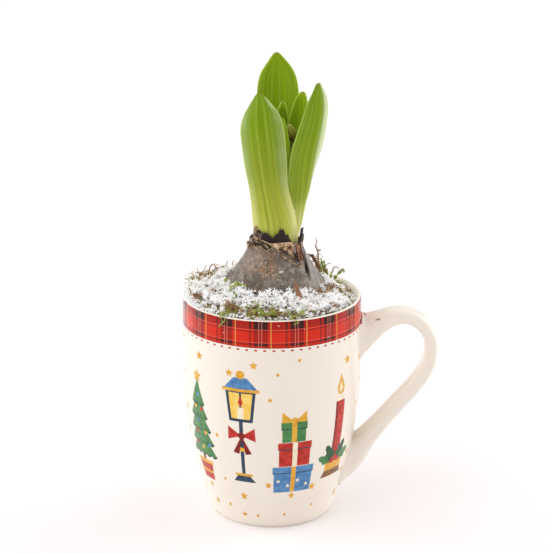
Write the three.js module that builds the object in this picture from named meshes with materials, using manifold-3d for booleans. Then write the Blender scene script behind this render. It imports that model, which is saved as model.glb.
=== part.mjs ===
// A forced hyacinth bulb in a porcelain mug, bedded in soil under moss and loose snow flakes.
// Millimetres, +Z up. The origin is on the mug's axis at the plane of its foot.
// The handle points along +X, and the front of the plant faces -Y.

import * as THREE from "three";
import { mergeVertices } from "three/addons/utils/BufferGeometryUtils.js";
import Module from "manifold-3d";

const { clamp, degToRad, lerp, smoothstep } = THREE.MathUtils;
const wasm = await Module();
wasm.setup();

// Driving dimensions
const TAU = 2 * Math.PI;
const GOLDEN_ANGLE = degToRad(137.5);
const CLEARANCE = 0.3;
const MUG_HEIGHT = 104;
const MUG_SIDES = 40;
const FOOT_RECESS = 1;
const PLANT_X = 1.6;
const NECK_RADIUS = 10.9;
const SOCKET_FLOOR = 118.4;
const BULB_BASE = 72;
const BULB_TOP = 125.2;
const BULB_SIDES = 30;
const BULB_STEPS = 11;
const BULB_RELIEF = 0.45;
const SOIL_TOP = 96;
const MUG_FLOOR = 6;

// The mug's outline from the foot to the lip, and the hollow inside it, as [radius, height].
const MUG_OUTSIDE = [
  [28.7, 0.6], [30.1, 4], [32, 12.8], [34.4, 20.5], [36.9, 30], [38.7, 41],
  [40.2, 52], [41, 63], [41.2, 76], [41, 90], [40.8, 102.2],
];
const MUG_INSIDE = [
  [17, 6.2], [26, 9.5], [31, 19], [33.8, 30], [35.7, 41],
  [37.2, 52], [38, 63], [38.2, 76], [38.1, 90], [38.1, 101.4],
];

// The handle from its upper root round to its lower one: x, z, half its thickness, half its width.
const HANDLE = [
  [37.6, 84.6, 10.6, 8.6], [40.6, 85.6, 9.4, 7.8], [44.2, 87.2, 7, 6.8], [49.6, 90.2, 4.9, 6.4],
  [56, 92.9, 3.8, 6.3], [62.4, 93.2, 3.5, 6.3], [68.4, 89.9, 3.3, 6.3], [72.4, 83.6, 3.1, 6.3],
  [73.3, 76, 3.1, 6.3], [71.2, 67.8, 3.2, 6.3], [65.7, 59.2, 3.3, 6.3], [57.6, 49.6, 3.5, 6.3],
  [49.8, 40.3, 3.8, 6.4], [44, 33.1, 4.6, 6.8], [39.4, 27.2, 5.8, 7.8], [35, 22, 6.6, 8.8],
  [30.4, 17.4, 6.2, 9], [26.4, 14, 4.6, 8.6],
];
const HANDLE_SIDES = 10;
const HANDLE_STEPS = 24;

// The bulb's outline from its basal plate to the rim of its neck, as [radius, height].
const BULB_OUTSIDE = [
  [9, BULB_BASE], [15.6, 76.4], [21.6, 83], [25, 90.5], [26, 98], [24.8, 104.5],
  [21.7, 110.8], [18.1, 115.8], [15, 120.8], [13.2, 123.9], [12.5, BULB_TOP],
];

// A leaf's stations from foot to tip. The midrib passes through x, y, z on the leaf's back, which
// faces the direction "face" (degrees from +X). "half" is half the leaf's width round its curve,
// and "cup" is half the angle that the curve turns through.
const station = (x, y, z, face, half, cup) => ({ x, y, z, face, half, cup });
const LEAVES = {
  leaf_front: [
    station(1.3, -10.1, 119, -92, 11.6, 66),
    station(1.1, -10.6, 137, -92, 13.0, 72),
    station(-1.6, -11.8, 153, -95, 11.1, 64),
    station(-3.8, -12.9, 168, -98, 11.7, 59),
    station(-5.3, -13.2, 182, -99, 12.0, 60),
    station(-5.8, -10.6, 191, -99, 12.0, 61),
    station(-5.1, -5.6, 197.4, -98, 11.0, 62),
  ],
  leaf_back: [
    station(0.0, 10.1, 119, 99, 8.3, 47),
    station(0.4, 11.0, 137, 98, 9.4, 50),
    station(1.5, 12.6, 156, 97, 10.6, 52),
    station(2.4, 14.2, 176, 96, 11.0, 53),
    station(3.0, 14.6, 194, 95, 11.2, 54),
    station(3.0, 12.8, 205, 94, 11.6, 55),
    station(2.7, 9.4, 213.2, 94, 10.6, 56),
  ],
  leaf_right: [
    station(10.3, 1.6, 119, 2, 5.8, 42),
    station(11.2, 1.7, 128, -2, 6.2, 50),
    station(13.4, 1.9, 137, -8, 7.4, 60),
    station(14.9, 1.7, 145, -16, 8.6, 58),
    station(16.5, -0.5, 153, -26, 10.0, 58),
    station(18.8, -5.4, 169, -43, 12.2, 64),
    station(22.0, -6.4, 186, -43, 11.6, 61),
    station(22.3, -5.6, 195, -44, 11.4, 60),
    station(20.8, -3.6, 201.4, -44, 10.4, 60),
  ],
  leaf_inner_right: [
    station(7.0, 3.4, 119.4, 28, 4.2, 56),
    station(8.6, 4.8, 136, 38, 5.0, 56),
    station(10.2, 6.4, 152, 48, 5.8, 58),
    station(11.8, 7.0, 168, 58, 6.6, 56),
    station(13.2, 6.9, 183, 62, 7.4, 60),
    station(13.2, 4.6, 196, 62, 7.6, 64),
  ],
  leaf_inner_back: [
    station(-1.0, 5.6, 119.4, 122, 3.4, 46),
    station(-0.4, 7.4, 135, 120, 4.0, 46),
    station(0.8, 9.0, 150, 114, 4.4, 46),
    station(2.2, 9.8, 165, 108, 4.6, 46),
    station(3.6, 10.0, 179, 104, 4.8, 46),
    station(4.8, 7.6, 191.4, 104, 4.6, 50),
  ],
  leaf_inner_front: [
    station(-0.6, -5.4, 119.4, -114, 4.4, 60),
    station(-0.2, -6.2, 134, -116, 5.6, 60),
    station(0.4, -6.0, 147, -118, 6.2, 58),
    station(1.4, -5.8, 160, -120, 6.8, 58),
    station(2.2, -5.8, 173, -120, 7.2, 60),
    station(3.6, -3.8, 186.4, -118, 6.6, 62),
  ],
  leaf_inner_left: [
    station(-6.8, 1.0, 119.4, 176, 5.0, 58),
    station(-7.6, 1.2, 134, 174, 6.0, 58),
    station(-8.4, 1.4, 148, 172, 6.8, 58),
    station(-8.8, 1.6, 162, 170, 7.2, 58),
    station(-8.6, 2.0, 176, 170, 7.6, 58),
    station(-6.0, 1.8, 188, 170, 7.0, 60),
  ],
};
const OUTER_LEAVES = ["leaf_front", "leaf_back", "leaf_right"];
// Where a leaf starts to close, how wide its tip stays, and how soon it narrows in between.
const LEAF_CLOSES_FROM = 0.6;
const LEAF_TIP_SHARE = 0.09;
const OUTER_LEAF_TAPER = 0.85;
const INNER_LEAF_TAPER = 0.62;
const LEAF_ROOT_THICKNESS = 1.5;
const LEAF_MARGIN_THICKNESS = 0.7;

// The flower spike: the heights and radii of its stalk, and the closed florets round its head.
const SPIKE_TOP = 183;
const STALK_HEIGHTS = [118.9, 130, 142, 150, 158, 166, 173, 179];
const STALK_RADII = [2.1, 2, 2, 2.4, 2.6, 2.4, 1.9, 1.1];
const FLORET_COUNT = 24;
const FIRST_FLORET = 149;
const LAST_FLORET = 177;

// The basal plate under the bulb, and the roots that hang from it in the soil.
const PLATE_RADIUS = 8.2;
const PLATE_BOTTOM = 70.2;
const PLATE_TOP = 71.7;
const ROOT_COUNT = 9;
const ROOT_RADII = [1.1, 1, 0.9, 0.8, 0.6];

// The torn skin round the neck: where its loose tips stand, in degrees from +X.
const RING_COLUMNS = 42;
const RING_TOP = 128.6;
const LOOSE_TIPS_AT = [156, 168, 181, 194, 207, 221, 236];

// The surface that the bedding shows: high against the bulb, level with the lip at the left and
// front, and slumped below it at the back right.
const BED_AT_BULB = 111;
const BED_AT_WALL = 103.4;
const BED_SLUMP = 4.4;
const BED_SLUMP_TOWARDS = degToRad(38);
const BED_RISE = 1.3;
const BED_RISE_TOWARDS = degToRad(172);
const SNOW_THICKNESS = 1.3;
const SNOW_LIFT = 0.45;
const BED_RINGS = [14, 21, 25, 29, 32.6, 36, 40];
const BED_SIDES = 30;
const FLAKE_COUNT = 44;

// The moss sprigs that stand behind at the right and along the left: degrees from +X, radius,
// height, lean outwards. Short ones stand where the snow leaves the moss bare at the front.
const TALL_SPRIGS = [
  [42, 27.6, 20, 1], [34, 31, 13, 3], [51, 29, 11, 2], [26, 30.5, 8, 3], [61, 31, 8, 2],
  [178, 35, 8, 0], [168, 34, 9, 1], [158, 33, 10, 2], [148, 32, 9, 2], [138, 31, 8, 1],
];
const SHORT_SPRIG_COUNT = 12;
const SHORT_SPRIGS_FROM = -118;
const SPRIG_RADII = [0.9, 0.75, 0.6, 0.35];

// Seeded random numbers from 0 to 1.
function randomFrom(seed) {
  let state = seed;
  return () => {
    state = (state + 0x6d2b79f5) | 0;
    let t = Math.imul(state ^ (state >>> 15), 1 | state);
    t = (t + Math.imul(t ^ (t >>> 7), 61 | t)) ^ t;
    return ((t ^ (t >>> 14)) >>> 0) / 4294967296;
  };
}

// Geometry and solids
function geometryFrom(points, triangles) {
  const geometry = new THREE.BufferGeometry();
  const positions = points.flatMap((p) => [p.x, p.y, p.z]);
  geometry.setAttribute("position", new THREE.Float32BufferAttribute(positions, 3));
  geometry.setIndex(triangles);
  return geometry;
}

function solidOf(geometry) {
  const bare = new THREE.BufferGeometry();
  bare.setAttribute("position", geometry.getAttribute("position"));
  bare.setIndex(geometry.index);
  const merged = mergeVertices(bare, 1e-4);
  return new wasm.Manifold(
    new wasm.Mesh({
      numProp: 3,
      vertProperties: merged.attributes.position.array,
      triVerts: new Uint32Array(merged.index.array),
    }),
  );
}

function geometryOf(solid) {
  const mesh = solid.getMesh();
  const geometry = new THREE.BufferGeometry();
  geometry.setAttribute("position", new THREE.BufferAttribute(mesh.vertProperties, 3));
  geometry.setIndex(new THREE.BufferAttribute(mesh.triVerts, 1));
  return geometry;
}

const joined = (solids) => solids.reduce((whole, next) => whole.add(next));

// The largest body of a solid, without the crumbs that a cut can leave.
function mainBody(solid) {
  return solid.decompose().reduce((a, b) => (a.volume() > b.volume() ? a : b));
}

// A turned solid from [radius, height] pairs that run from the axis at the bottom to the axis at
// the top.
function turned(profile, sides, centreX = 0) {
  const outline = profile.map(([radius, height]) => new THREE.Vector2(radius, height));
  return new THREE.LatheGeometry(outline, sides).rotateX(Math.PI / 2).translate(centreX, 0, 0);
}

// A smooth run of [radius, height] pairs through the given ones.
function smoothed(profile, count) {
  const curve = new THREE.SplineCurve(profile.map(([r, z]) => new THREE.Vector2(r, z)));
  return curve.getPoints(count).map((p) => [p.x, p.y]);
}

// A closed skin through loops of points that run anticlockwise as seen from the far end. With
// "round" the last loop joins on to the first, and otherwise each end has a cap.
function loft(loops, round = false) {
  const sides = loops[0].length;
  const last = (loops.length - 1) * sides;
  const triangles = [];
  for (let i = 0; i < loops.length - (round ? 0 : 1); i++) {
    const next = ((i + 1) % loops.length) * sides;
    for (let j = 0; j < sides; j++) {
      const [from, to] = [j, (j + 1) % sides];
      triangles.push(i * sides + from, i * sides + to, next + to);
      triangles.push(i * sides + from, next + to, next + from);
    }
  }
  for (let j = 1; j < sides - 1 && !round; j++) {
    triangles.push(0, j + 1, j, last, last + j, last + j + 1);
  }
  return geometryFrom(loops.flat(), triangles);
}

// A tapering rod of a few sides along a list of points, with a radius for each point.
function taperedRod(points, radii, sides) {
  const curve = new THREE.CatmullRomCurve3(points, false, "catmullrom", 0.5);
  const frames = curve.computeFrenetFrames(points.length - 1, false);
  return loft(
    points.map((_, i) => {
      const centre = curve.getPoint(i / (points.length - 1));
      return Array.from({ length: sides }, (_, j) => {
        const angle = (j / sides) * TAU;
        return centre
          .clone()
          .addScaledVector(frames.normals[i], Math.cos(angle) * radii[i])
          .addScaledVector(frames.binormals[i], Math.sin(angle) * radii[i]);
      });
    }),
  );
}

// A thin closed blade between two grids of points, rows from foot to tip. Both faces are split
// into triangles along the same diagonals.
function blade(outer, inner) {
  const rows = outer.length - 1;
  const columns = outer[0].length - 1;
  const shift = (rows + 1) * (columns + 1);
  const at = (row, column) => row * (columns + 1) + column;
  const triangles = [];
  const edge = (from, to) => {
    triangles.push(to, from, from + shift, to, from + shift, to + shift);
  };
  for (let i = 0; i < rows; i++) {
    for (let j = 0; j < columns; j++) {
      const [a, b, c, d] = [at(i, j), at(i, j + 1), at(i + 1, j + 1), at(i + 1, j)];
      triangles.push(a, b, c, a, c, d);
      triangles.push(a + shift, c + shift, b + shift, a + shift, d + shift, c + shift);
    }
  }
  for (let j = 0; j < columns; j++) {
    edge(at(0, j), at(0, j + 1));
    edge(at(rows, j + 1), at(rows, j));
  }
  for (let i = 0; i < rows; i++) {
    edge(at(i + 1, 0), at(i, 0));
    edge(at(i, columns), at(i + 1, columns));
  }
  return geometryFrom([...outer.flat(), ...inner.flat()], triangles);
}

// Mug
function mugSolid() {
  const outside = [
    [0, FOOT_RECESS], [24.4, FOOT_RECESS], [25.2, 0], [28.1, 0],
    ...smoothed(MUG_OUTSIDE, 13),
    [40.4, 103.5], [39.8, MUG_HEIGHT], [0, MUG_HEIGHT],
  ];
  const body = solidOf(turned(outside, MUG_SIDES));
  return body.add(solidOf(handleGeometry())).subtract(mugHollow(0, 3));
}

// The space inside the mug, "gap" clear of its wall, up to "above" the lip.
function mugHollow(gap, above) {
  const wall = smoothed(MUG_INSIDE, 9).map(([r, z]) => [r - gap, z + gap]);
  const lip = [
    [38.6 - gap, 103.2 + gap], [39.5 - gap, MUG_HEIGHT + gap], [39.5 - gap, MUG_HEIGHT + above],
  ];
  return solidOf(
    turned([[0, MUG_FLOOR + gap], ...wall, ...lip, [0, MUG_HEIGHT + above]], MUG_SIDES),
  );
}

function handleGeometry() {
  const line = new THREE.CatmullRomCurve3(
    HANDLE.map(([x, z]) => new THREE.Vector3(x, 0, z)), false, "catmullrom", 0.5,
  );
  const loops = [];
  for (let i = 0; i <= HANDLE_STEPS; i++) {
    const along = (i / HANDLE_STEPS) * (HANDLE.length - 1);
    const from = Math.min(Math.floor(along), HANDLE.length - 2);
    const size = (k) => lerp(HANDLE[from][k], HANDLE[from + 1][k], along - from);
    const centre = line.getPoint(i / HANDLE_STEPS);
    const tangent = line.getTangent(i / HANDLE_STEPS);
    const outwards = new THREE.Vector3(-tangent.z, 0, tangent.x);
    loops.push(
      Array.from({ length: HANDLE_SIDES }, (_, j) => {
        const angle = (j / HANDLE_SIDES) * TAU;
        return centre
          .clone()
          .addScaledVector(outwards, Math.cos(angle) * size(2))
          .add(new THREE.Vector3(0, -Math.sin(angle) * size(3), 0));
      }),
    );
  }
  return loft(loops);
}

// Bulb
function bulbEnvelope(gap) {
  const side = smoothed(BULB_OUTSIDE, BULB_STEPS).map(([r, z]) => [r + gap + BULB_RELIEF, z]);
  const bottom = BULB_BASE - gap;
  const top = BULB_TOP + 10;
  const base = BULB_OUTSIDE[0][0] + gap;
  const profile = [[0, bottom], [base, bottom], ...side, [side.at(-1)[0], top], [0, top]];
  return solidOf(turned(profile, BULB_SIDES, PLANT_X));
}

function bulbSolid() {
  const profile = [
    [0, BULB_BASE], ...smoothed(BULB_OUTSIDE, BULB_STEPS), [0, BULB_TOP],
  ];
  const geometry = turned(profile, BULB_SIDES, 0);
  const position = geometry.getAttribute("position");
  for (let i = 0; i < position.count; i++) {
    const [x, y, z] = [position.getX(i), position.getY(i), position.getZ(i)];
    const angle = Math.atan2(y, x);
    const ribs = Math.sin(9 * angle + 0.7) * 0.22 + Math.sin(4 * angle + 2.1) * 0.3;
    const share = 1 + ((ribs - 0.1) / 24) * smoothstep(z, BULB_BASE, BULB_BASE + 8);
    position.setXYZ(i, x * share, y * share, z);
  }
  const above = BULB_TOP + 5;
  const socket = solidOf(
    turned([[0, SOCKET_FLOOR], [NECK_RADIUS, SOCKET_FLOOR], [NECK_RADIUS, above], [0, above]], 28),
  );
  return solidOf(geometry).subtract(socket).translate([PLANT_X, 0, 0]);
}

// Torn dry skin round the neck: a ring with a ragged edge, and curled scale tips rooted in it.
function tornRing(random) {
  const seat = BULB_TOP + CLEARANCE;
  const middle = seat + 1.7;
  const inside = NECK_RADIUS + 0.4;
  const loops = Array.from({ length: RING_COLUMNS }, (_, i) => {
    const angle = (-i / RING_COLUMNS) * TAU;
    const near = (degrees, reach) => smoothstep(Math.cos(angle - degToRad(degrees)), reach, 1);
    const peaks = 5.4 * near(-76, 0.93) + 3 * near(205, 0.8) + 2 * near(-12, 0.9);
    const top = RING_TOP + peaks + (random() - 0.5) * 2.4;
    const lean = inside + 0.6 + 0.16 * (top - middle) + 0.5 * near(195, 0.5);
    const section = [
      [inside, seat], [inside + 1.2, seat], [inside + 1, middle],
      [lean, top], [lean - 0.7, top], [inside, middle],
    ];
    return section.map(
      ([r, z]) => new THREE.Vector3(PLANT_X + Math.cos(angle) * r, Math.sin(angle) * r, z),
    );
  });
  return solidOf(loft(loops, true));
}

function scaleTip({ angle, height, lean, half, curl }) {
  const rows = 3;
  const columns = 2;
  const grid = (offset) =>
    Array.from({ length: rows + 1 }, (_, i) =>
      Array.from({ length: columns + 1 }, (_, j) => {
        const share = i / rows;
        const across = (j / columns - 0.5) * 2 * half * (1 - 0.72 * share);
        const out = 11.8 + offset + lean * share + curl * share * share;
        const turn = angle + across / 12;
        const z = 126.4 + height * share - curl * share ** 3;
        return new THREE.Vector3(PLANT_X + Math.cos(turn) * out, Math.sin(turn) * out, z);
      }),
    );
  return solidOf(blade(grid(0.35), grid(-0.35)));
}

function neckScaleSolid() {
  const random = randomFrom(11);
  const loose = LOOSE_TIPS_AT.map((degrees) =>
    scaleTip({
      angle: degToRad(degrees),
      height: 4.5 + random() * 5,
      lean: 0.8 + random() * 1.6,
      half: 1.5 + random() * 0.8,
      curl: random() * 1.8,
    }),
  );
  const sheaths = [
    scaleTip({ angle: degToRad(-9), height: 10, lean: 3, half: 1.8, curl: 0 }),
    scaleTip({ angle: degToRad(14), height: 6, lean: 2.2, half: 1.7, curl: 0.6 }),
  ];
  return mainBody(joined([tornRing(random), ...loose, ...sheaths]));
}

// Leaves
function curveThrough(points) {
  return new THREE.CatmullRomCurve3(points, false, "catmullrom", 0.5);
}

function leafGeometry(stations, taper, rows, columns) {
  const spine = curveThrough(stations.map((s) => new THREE.Vector3(s.x, s.y, s.z)));
  const form = curveThrough(stations.map((s) => new THREE.Vector3(s.face, s.half, s.cup)));
  const outer = [];
  const inner = [];
  for (let i = 0; i <= rows; i++) {
    const t = 1 - (1 - i / rows) ** 1.3;
    const { x: face, y: half, z: cup } = form.getPoint(t);
    const closing = clamp((t - LEAF_CLOSES_FROM) / (1 - LEAF_CLOSES_FROM), 0, 1);
    const share = LEAF_TIP_SHARE + (1 - LEAF_TIP_SHARE) * (1 - closing ** 2) ** taper;
    const span = degToRad(cup);
    const radius = (half * share) / span;
    const midrib = spine.getPoint(t);
    const along = spine.getTangent(t);
    const facing = new THREE.Vector3(Math.cos(degToRad(face)), Math.sin(degToRad(face)), 0);
    const back = facing.addScaledVector(along, -facing.dot(along)).normalize();
    const side = along.clone().cross(back);
    outer.push([]);
    inner.push([]);
    for (let j = 0; j <= columns; j++) {
      const across = (j / columns) * 2 - 1;
      const angle = across * span;
      const out = back
        .clone()
        .multiplyScalar(Math.cos(angle))
        .addScaledVector(side, Math.sin(angle));
      const point = midrib
        .clone()
        .addScaledVector(back, -radius)
        .addScaledVector(out, radius);
      const fleshy = lerp(LEAF_ROOT_THICKNESS, LEAF_MARGIN_THICKNESS, Math.abs(across) ** 1.5);
      const thickness = Math.min(fleshy, Math.max(LEAF_MARGIN_THICKNESS, radius * 0.6));
      outer[i].push(point);
      inner[i].push(point.clone().addScaledVector(out, -thickness));
    }
  }
  return blade(outer, inner);
}

// Flower spike: a stalk with a head of closed florets, sunk in it along a spiral.
function spikeLine(z) {
  const rise = (z - SOCKET_FLOOR) / (SPIKE_TOP - SOCKET_FLOOR);
  return new THREE.Vector3(lerp(PLANT_X + 0.6, 8.6, rise), lerp(0, 0.6, rise), z);
}

function floretBud(radius, length) {
  const form = [[0, 0], [0.7, 0.18], [1, 0.5], [0.6, 0.84], [0, 1]];
  return turned(form.map(([r, z]) => [r * radius, z * length]), 5);
}

function spikeSolid() {
  const stalk = solidOf(taperedRod(STALK_HEIGHTS.map(spikeLine), STALK_RADII, 6));
  const florets = Array.from({ length: FLORET_COUNT }, (_, i) => {
    const up = i / (FLORET_COUNT - 1);
    const z = lerp(FIRST_FLORET, LAST_FLORET, up);
    const turn = i * GOLDEN_ANGLE;
    const rise = degToRad(lerp(40, 84, up ** 1.5));
    const away = new THREE.Vector3(
      Math.cos(turn) * Math.cos(rise), Math.sin(turn) * Math.cos(rise), Math.sin(rise),
    );
    const bud = floretBud(lerp(1.5, 1.15, up), lerp(5, 5.6, up));
    bud.applyQuaternion(new THREE.Quaternion().setFromUnitVectors(new THREE.Vector3(0, 0, 1), away));
    const root = spikeLine(z).add(
      new THREE.Vector3(Math.cos(turn), Math.sin(turn), 0).multiplyScalar(lerp(1.2, 0.3, up)),
    );
    return solidOf(bud.translate(root.x, root.y, root.z));
  });
  return mainBody(joined([stalk, ...florets]));
}

// Roots under the basal plate. "thicker" widens them for the holes that they stand in.
function rootSolid(thicker) {
  const random = randomFrom(5);
  const bottom = PLATE_BOTTOM - thicker;
  const edge = PLATE_RADIUS + thicker;
  const plate = solidOf(
    turned([[0, bottom], [edge - 1.2, bottom], [edge, PLATE_TOP], [0, PLATE_TOP]], 20, PLANT_X),
  );
  const roots = Array.from({ length: ROOT_COUNT }, (_, i) => {
    const angle = (i / ROOT_COUNT) * TAU + random() * 0.3;
    const spread = 9 + random() * 12;
    const depth = 26 + random() * 26;
    const points = [0, 0.35, 0.75, 1, 0.95].map((share, k) => {
      const turn = angle + k * 0.12 * (random() - 0.3);
      const r = 5 + spread * share;
      const z = PLATE_BOTTOM + 0.4 - (depth * k) / 4 - (k === 4 ? thicker : 0);
      return new THREE.Vector3(PLANT_X + Math.cos(turn) * r, Math.sin(turn) * r, z);
    });
    return solidOf(taperedRod(points, ROOT_RADII.map((r) => r + thicker), 4));
  });
  return mainBody(joined([plate, ...roots]));
}

function soilSolid() {
  const [low, high, wide] = [PLATE_BOTTOM - 1.2, PLATE_TOP + 1.3, PLATE_RADIUS + 0.8];
  const pocket = solidOf(turned([[0, low], [wide, low], [wide, high], [0, high]], 20, PLANT_X));
  return mugHollow(CLEARANCE, 3)
    .trimByPlane([0, 0, -1], -SOIL_TOP)
    .subtract(bulbEnvelope(CLEARANCE))
    .subtract(rootSolid(CLEARANCE))
    .subtract(pocket);
}

// Bedding: a cushion of moss with sprigs, and the flakes of snow that lie on it.
function bedTop(angle, radius) {
  const out = clamp((radius - 19) / 19, 0, 1);
  const towards = (direction, from, to) => smoothstep(Math.cos(angle - direction), from, to) * out;
  const slump = BED_SLUMP * towards(BED_SLUMP_TOWARDS, 0.1, 0.95);
  const rise = BED_RISE * towards(BED_RISE_TOWARDS, 0, 0.9);
  const bumps =
    Math.sin(5 * angle + radius * 0.31) * 0.5 + Math.sin(11 * angle - radius * 0.57 + 1.4) * 0.4;
  return lerp(BED_AT_BULB, BED_AT_WALL, out) - slump + rise + bumps;
}

// A slab on rings round the axis, between a bottom and a top that depend on angle and radius.
// "reach" draws the rings in towards the axis.
function ringSlab(rings, bottomAt, topAt, reach = () => 1) {
  const points = [];
  const triangles = [];
  const centres = [bottomAt(0, 0), topAt(0, 0)];
  for (const heightAt of [bottomAt, topAt]) {
    for (const ring of rings) {
      for (let j = 0; j < BED_SIDES; j++) {
        const angle = (j / BED_SIDES) * TAU;
        const radius = ring * reach(angle);
        const [x, y] = [Math.cos(angle) * radius, Math.sin(angle) * radius];
        points.push(new THREE.Vector3(x, y, heightAt(angle, radius)));
      }
    }
  }
  const layer = rings.length * BED_SIDES;
  const at = (side, ring, j) => side * layer + ring * BED_SIDES + (j % BED_SIDES);
  points.push(new THREE.Vector3(0, 0, centres[0]), new THREE.Vector3(0, 0, centres[1]));
  for (let j = 0; j < BED_SIDES; j++) {
    triangles.push(2 * layer, at(0, 0, j + 1), at(0, 0, j));
    triangles.push(2 * layer + 1, at(1, 0, j), at(1, 0, j + 1));
    const rim = rings.length - 1;
    triangles.push(at(0, rim, j), at(0, rim, j + 1), at(1, rim, j + 1));
    triangles.push(at(0, rim, j), at(1, rim, j + 1), at(1, rim, j));
    for (let k = 0; k < rim; k++) {
      const [a, b, c, d] = [[k, j], [k + 1, j], [k + 1, j + 1], [k, j + 1]];
      triangles.push(at(1, ...a), at(1, ...b), at(1, ...c), at(1, ...a), at(1, ...c), at(1, ...d));
      triangles.push(at(0, ...a), at(0, ...c), at(0, ...b), at(0, ...a), at(0, ...d), at(0, ...c));
    }
  }
  return solidOf(geometryFrom(points, triangles));
}

function sprigPlaces() {
  const random = randomFrom(23);
  const short = Array.from({ length: SHORT_SPRIG_COUNT }, (_, i) => [
    SHORT_SPRIGS_FROM + i * 7 + random() * 4,
    33.6 + random() * 2.2,
    3.6 + random() * 1.6,
    random(),
  ]);
  return [...TALL_SPRIGS, ...short];
}

function sprigSolids(thicker) {
  const random = randomFrom(31);
  return sprigPlaces().map(([degrees, radius, height, lean]) => {
    const angle = degToRad(degrees);
    const bend = (random() - 0.5) * 0.16;
    const foot = bedTop(angle, radius) - 2.6;
    const points = [0, 0.4, 0.75, 1].map((share) => {
      const turn = angle + bend * share * share * (height / 8);
      const out = radius + lean * share * share;
      return new THREE.Vector3(
        Math.cos(turn) * out, Math.sin(turn) * out, foot + (height + 1.6) * share,
      );
    });
    return solidOf(taperedRod(points, SPRIG_RADII.map((r) => r + thicker), 3));
  });
}

function mossSolid() {
  const pad = ringSlab(BED_RINGS, () => SOIL_TOP + CLEARANCE, bedTop);
  const cushion = pad.intersect(mugHollow(CLEARANCE, 3)).subtract(bulbEnvelope(CLEARANCE));
  return mainBody(joined([mainBody(cushion), ...sprigSolids(0)]));
}

function snowSolid() {
  const random = randomFrom(47);
  const rings = BED_RINGS.slice(0, -1);
  const bareAt = (angle, degrees) => smoothstep(Math.cos(angle - degToRad(degrees)), 0.55, 1);
  const reach = (angle) =>
    1.02 - 0.09 * bareAt(angle, -84) - 0.19 * bareAt(angle, 42) - 0.07 * bareAt(angle, 150);
  const top = (angle, radius) => {
    const crumbs = Math.sin(23 * angle + radius * 1.9) * Math.sin(2.3 * radius - 7 * angle) * 0.35;
    return bedTop(angle, radius) + SNOW_LIFT + SNOW_THICKNESS + crumbs;
  };
  const bottom = (angle, radius) => bedTop(angle, radius) + SNOW_LIFT;
  const sunk = (angle, radius) => bottom(angle, radius) - SNOW_THICKNESS;
  const sheet = ringSlab(rings, sunk, top, reach);
  const flakes = Array.from({ length: FLAKE_COUNT }, (_, i) => {
    const angle = i * GOLDEN_ANGLE;
    const spread = (i + 0.5) / FLAKE_COUNT;
    const radius = Math.sqrt(lerp(24 ** 2, 35.5 ** 2, spread)) * reach(angle);
    const size = 1.2 + random() * 1.1;
    const flake = new THREE.TetrahedronGeometry(size);
    flake.rotateX(random() * 3).rotateZ(random() * 3);
    flake.translate(
      Math.cos(angle) * radius, Math.sin(angle) * radius,
      bottom(angle, radius) + SNOW_THICKNESS + size * 0.25,
    );
    return solidOf(flake);
  });
  const below = ringSlab(BED_RINGS, () => SOIL_TOP, bottom);
  const laid = joined([sheet, ...flakes])
    .subtract(below)
    .subtract(bulbEnvelope(CLEARANCE))
    .subtract(joined(sprigSolids(2 * CLEARANCE)));
  return mainBody(laid);
}

// Materials
const material = (color, roughness) =>
  new THREE.MeshStandardMaterial({ color, roughness, metalness: 0 });
const porcelain = material(0xf4ede2, 0.12);
const earth = material(0x2c1f17, 0.95);
const root = material(0xe6dcc4, 0.7);
const tunic = material(0x6a5f5a, 0.65);
const dryScale = material(0x5c4430, 0.85);
const outerLeaf = material(0x7ea32f, 0.4);
const innerLeaf = material(0x5f8f1f, 0.42);
const floret = material(0x7c8a35, 0.55);
const mossGreen = material(0x6b7a2a, 0.9);
const snowWhite = material(0xf4f5f7, 0.8);

// Assembly
const plant = new THREE.Group();

function place(name, geometry, finish) {
  geometry.computeVertexNormals();
  const mesh = new THREE.Mesh(geometry, finish);
  mesh.name = name;
  plant.add(mesh);
}

place("mug", geometryOf(mugSolid()), porcelain);
place("soil", geometryOf(mainBody(soilSolid())), earth);
place("roots", geometryOf(rootSolid(0)), root);
place("bulb", geometryOf(bulbSolid()), tunic);
place("neck_scales", geometryOf(neckScaleSolid()), dryScale);
for (const [name, stations] of Object.entries(LEAVES)) {
  const isOuter = OUTER_LEAVES.includes(name);
  const geometry = isOuter
    ? leafGeometry(stations, OUTER_LEAF_TAPER, 17, 8)
    : leafGeometry(stations, INNER_LEAF_TAPER, 11, 6);
  place(name, geometry, isOuter ? outerLeaf : innerLeaf);
}
place("flower_spike", geometryOf(spikeSolid()), floret);
place("moss", geometryOf(mossSolid()), mossGreen);
place("snow", geometryOf(snowSolid()), snowWhite);

export default plant;
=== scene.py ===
# Looks of a forced hyacinth bulb in a porcelain mug, bedded in moss under loose snow flakes.
# Sizes are in millimetres in the part's frame, and become metres where a mesh is made.

import random
from math import atan2, ceil, copysign, cos, exp, floor, hypot, pi, radians, sin, sqrt
from math import degrees as in_degrees

import bmesh
import bpy
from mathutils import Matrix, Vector, noise


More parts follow.
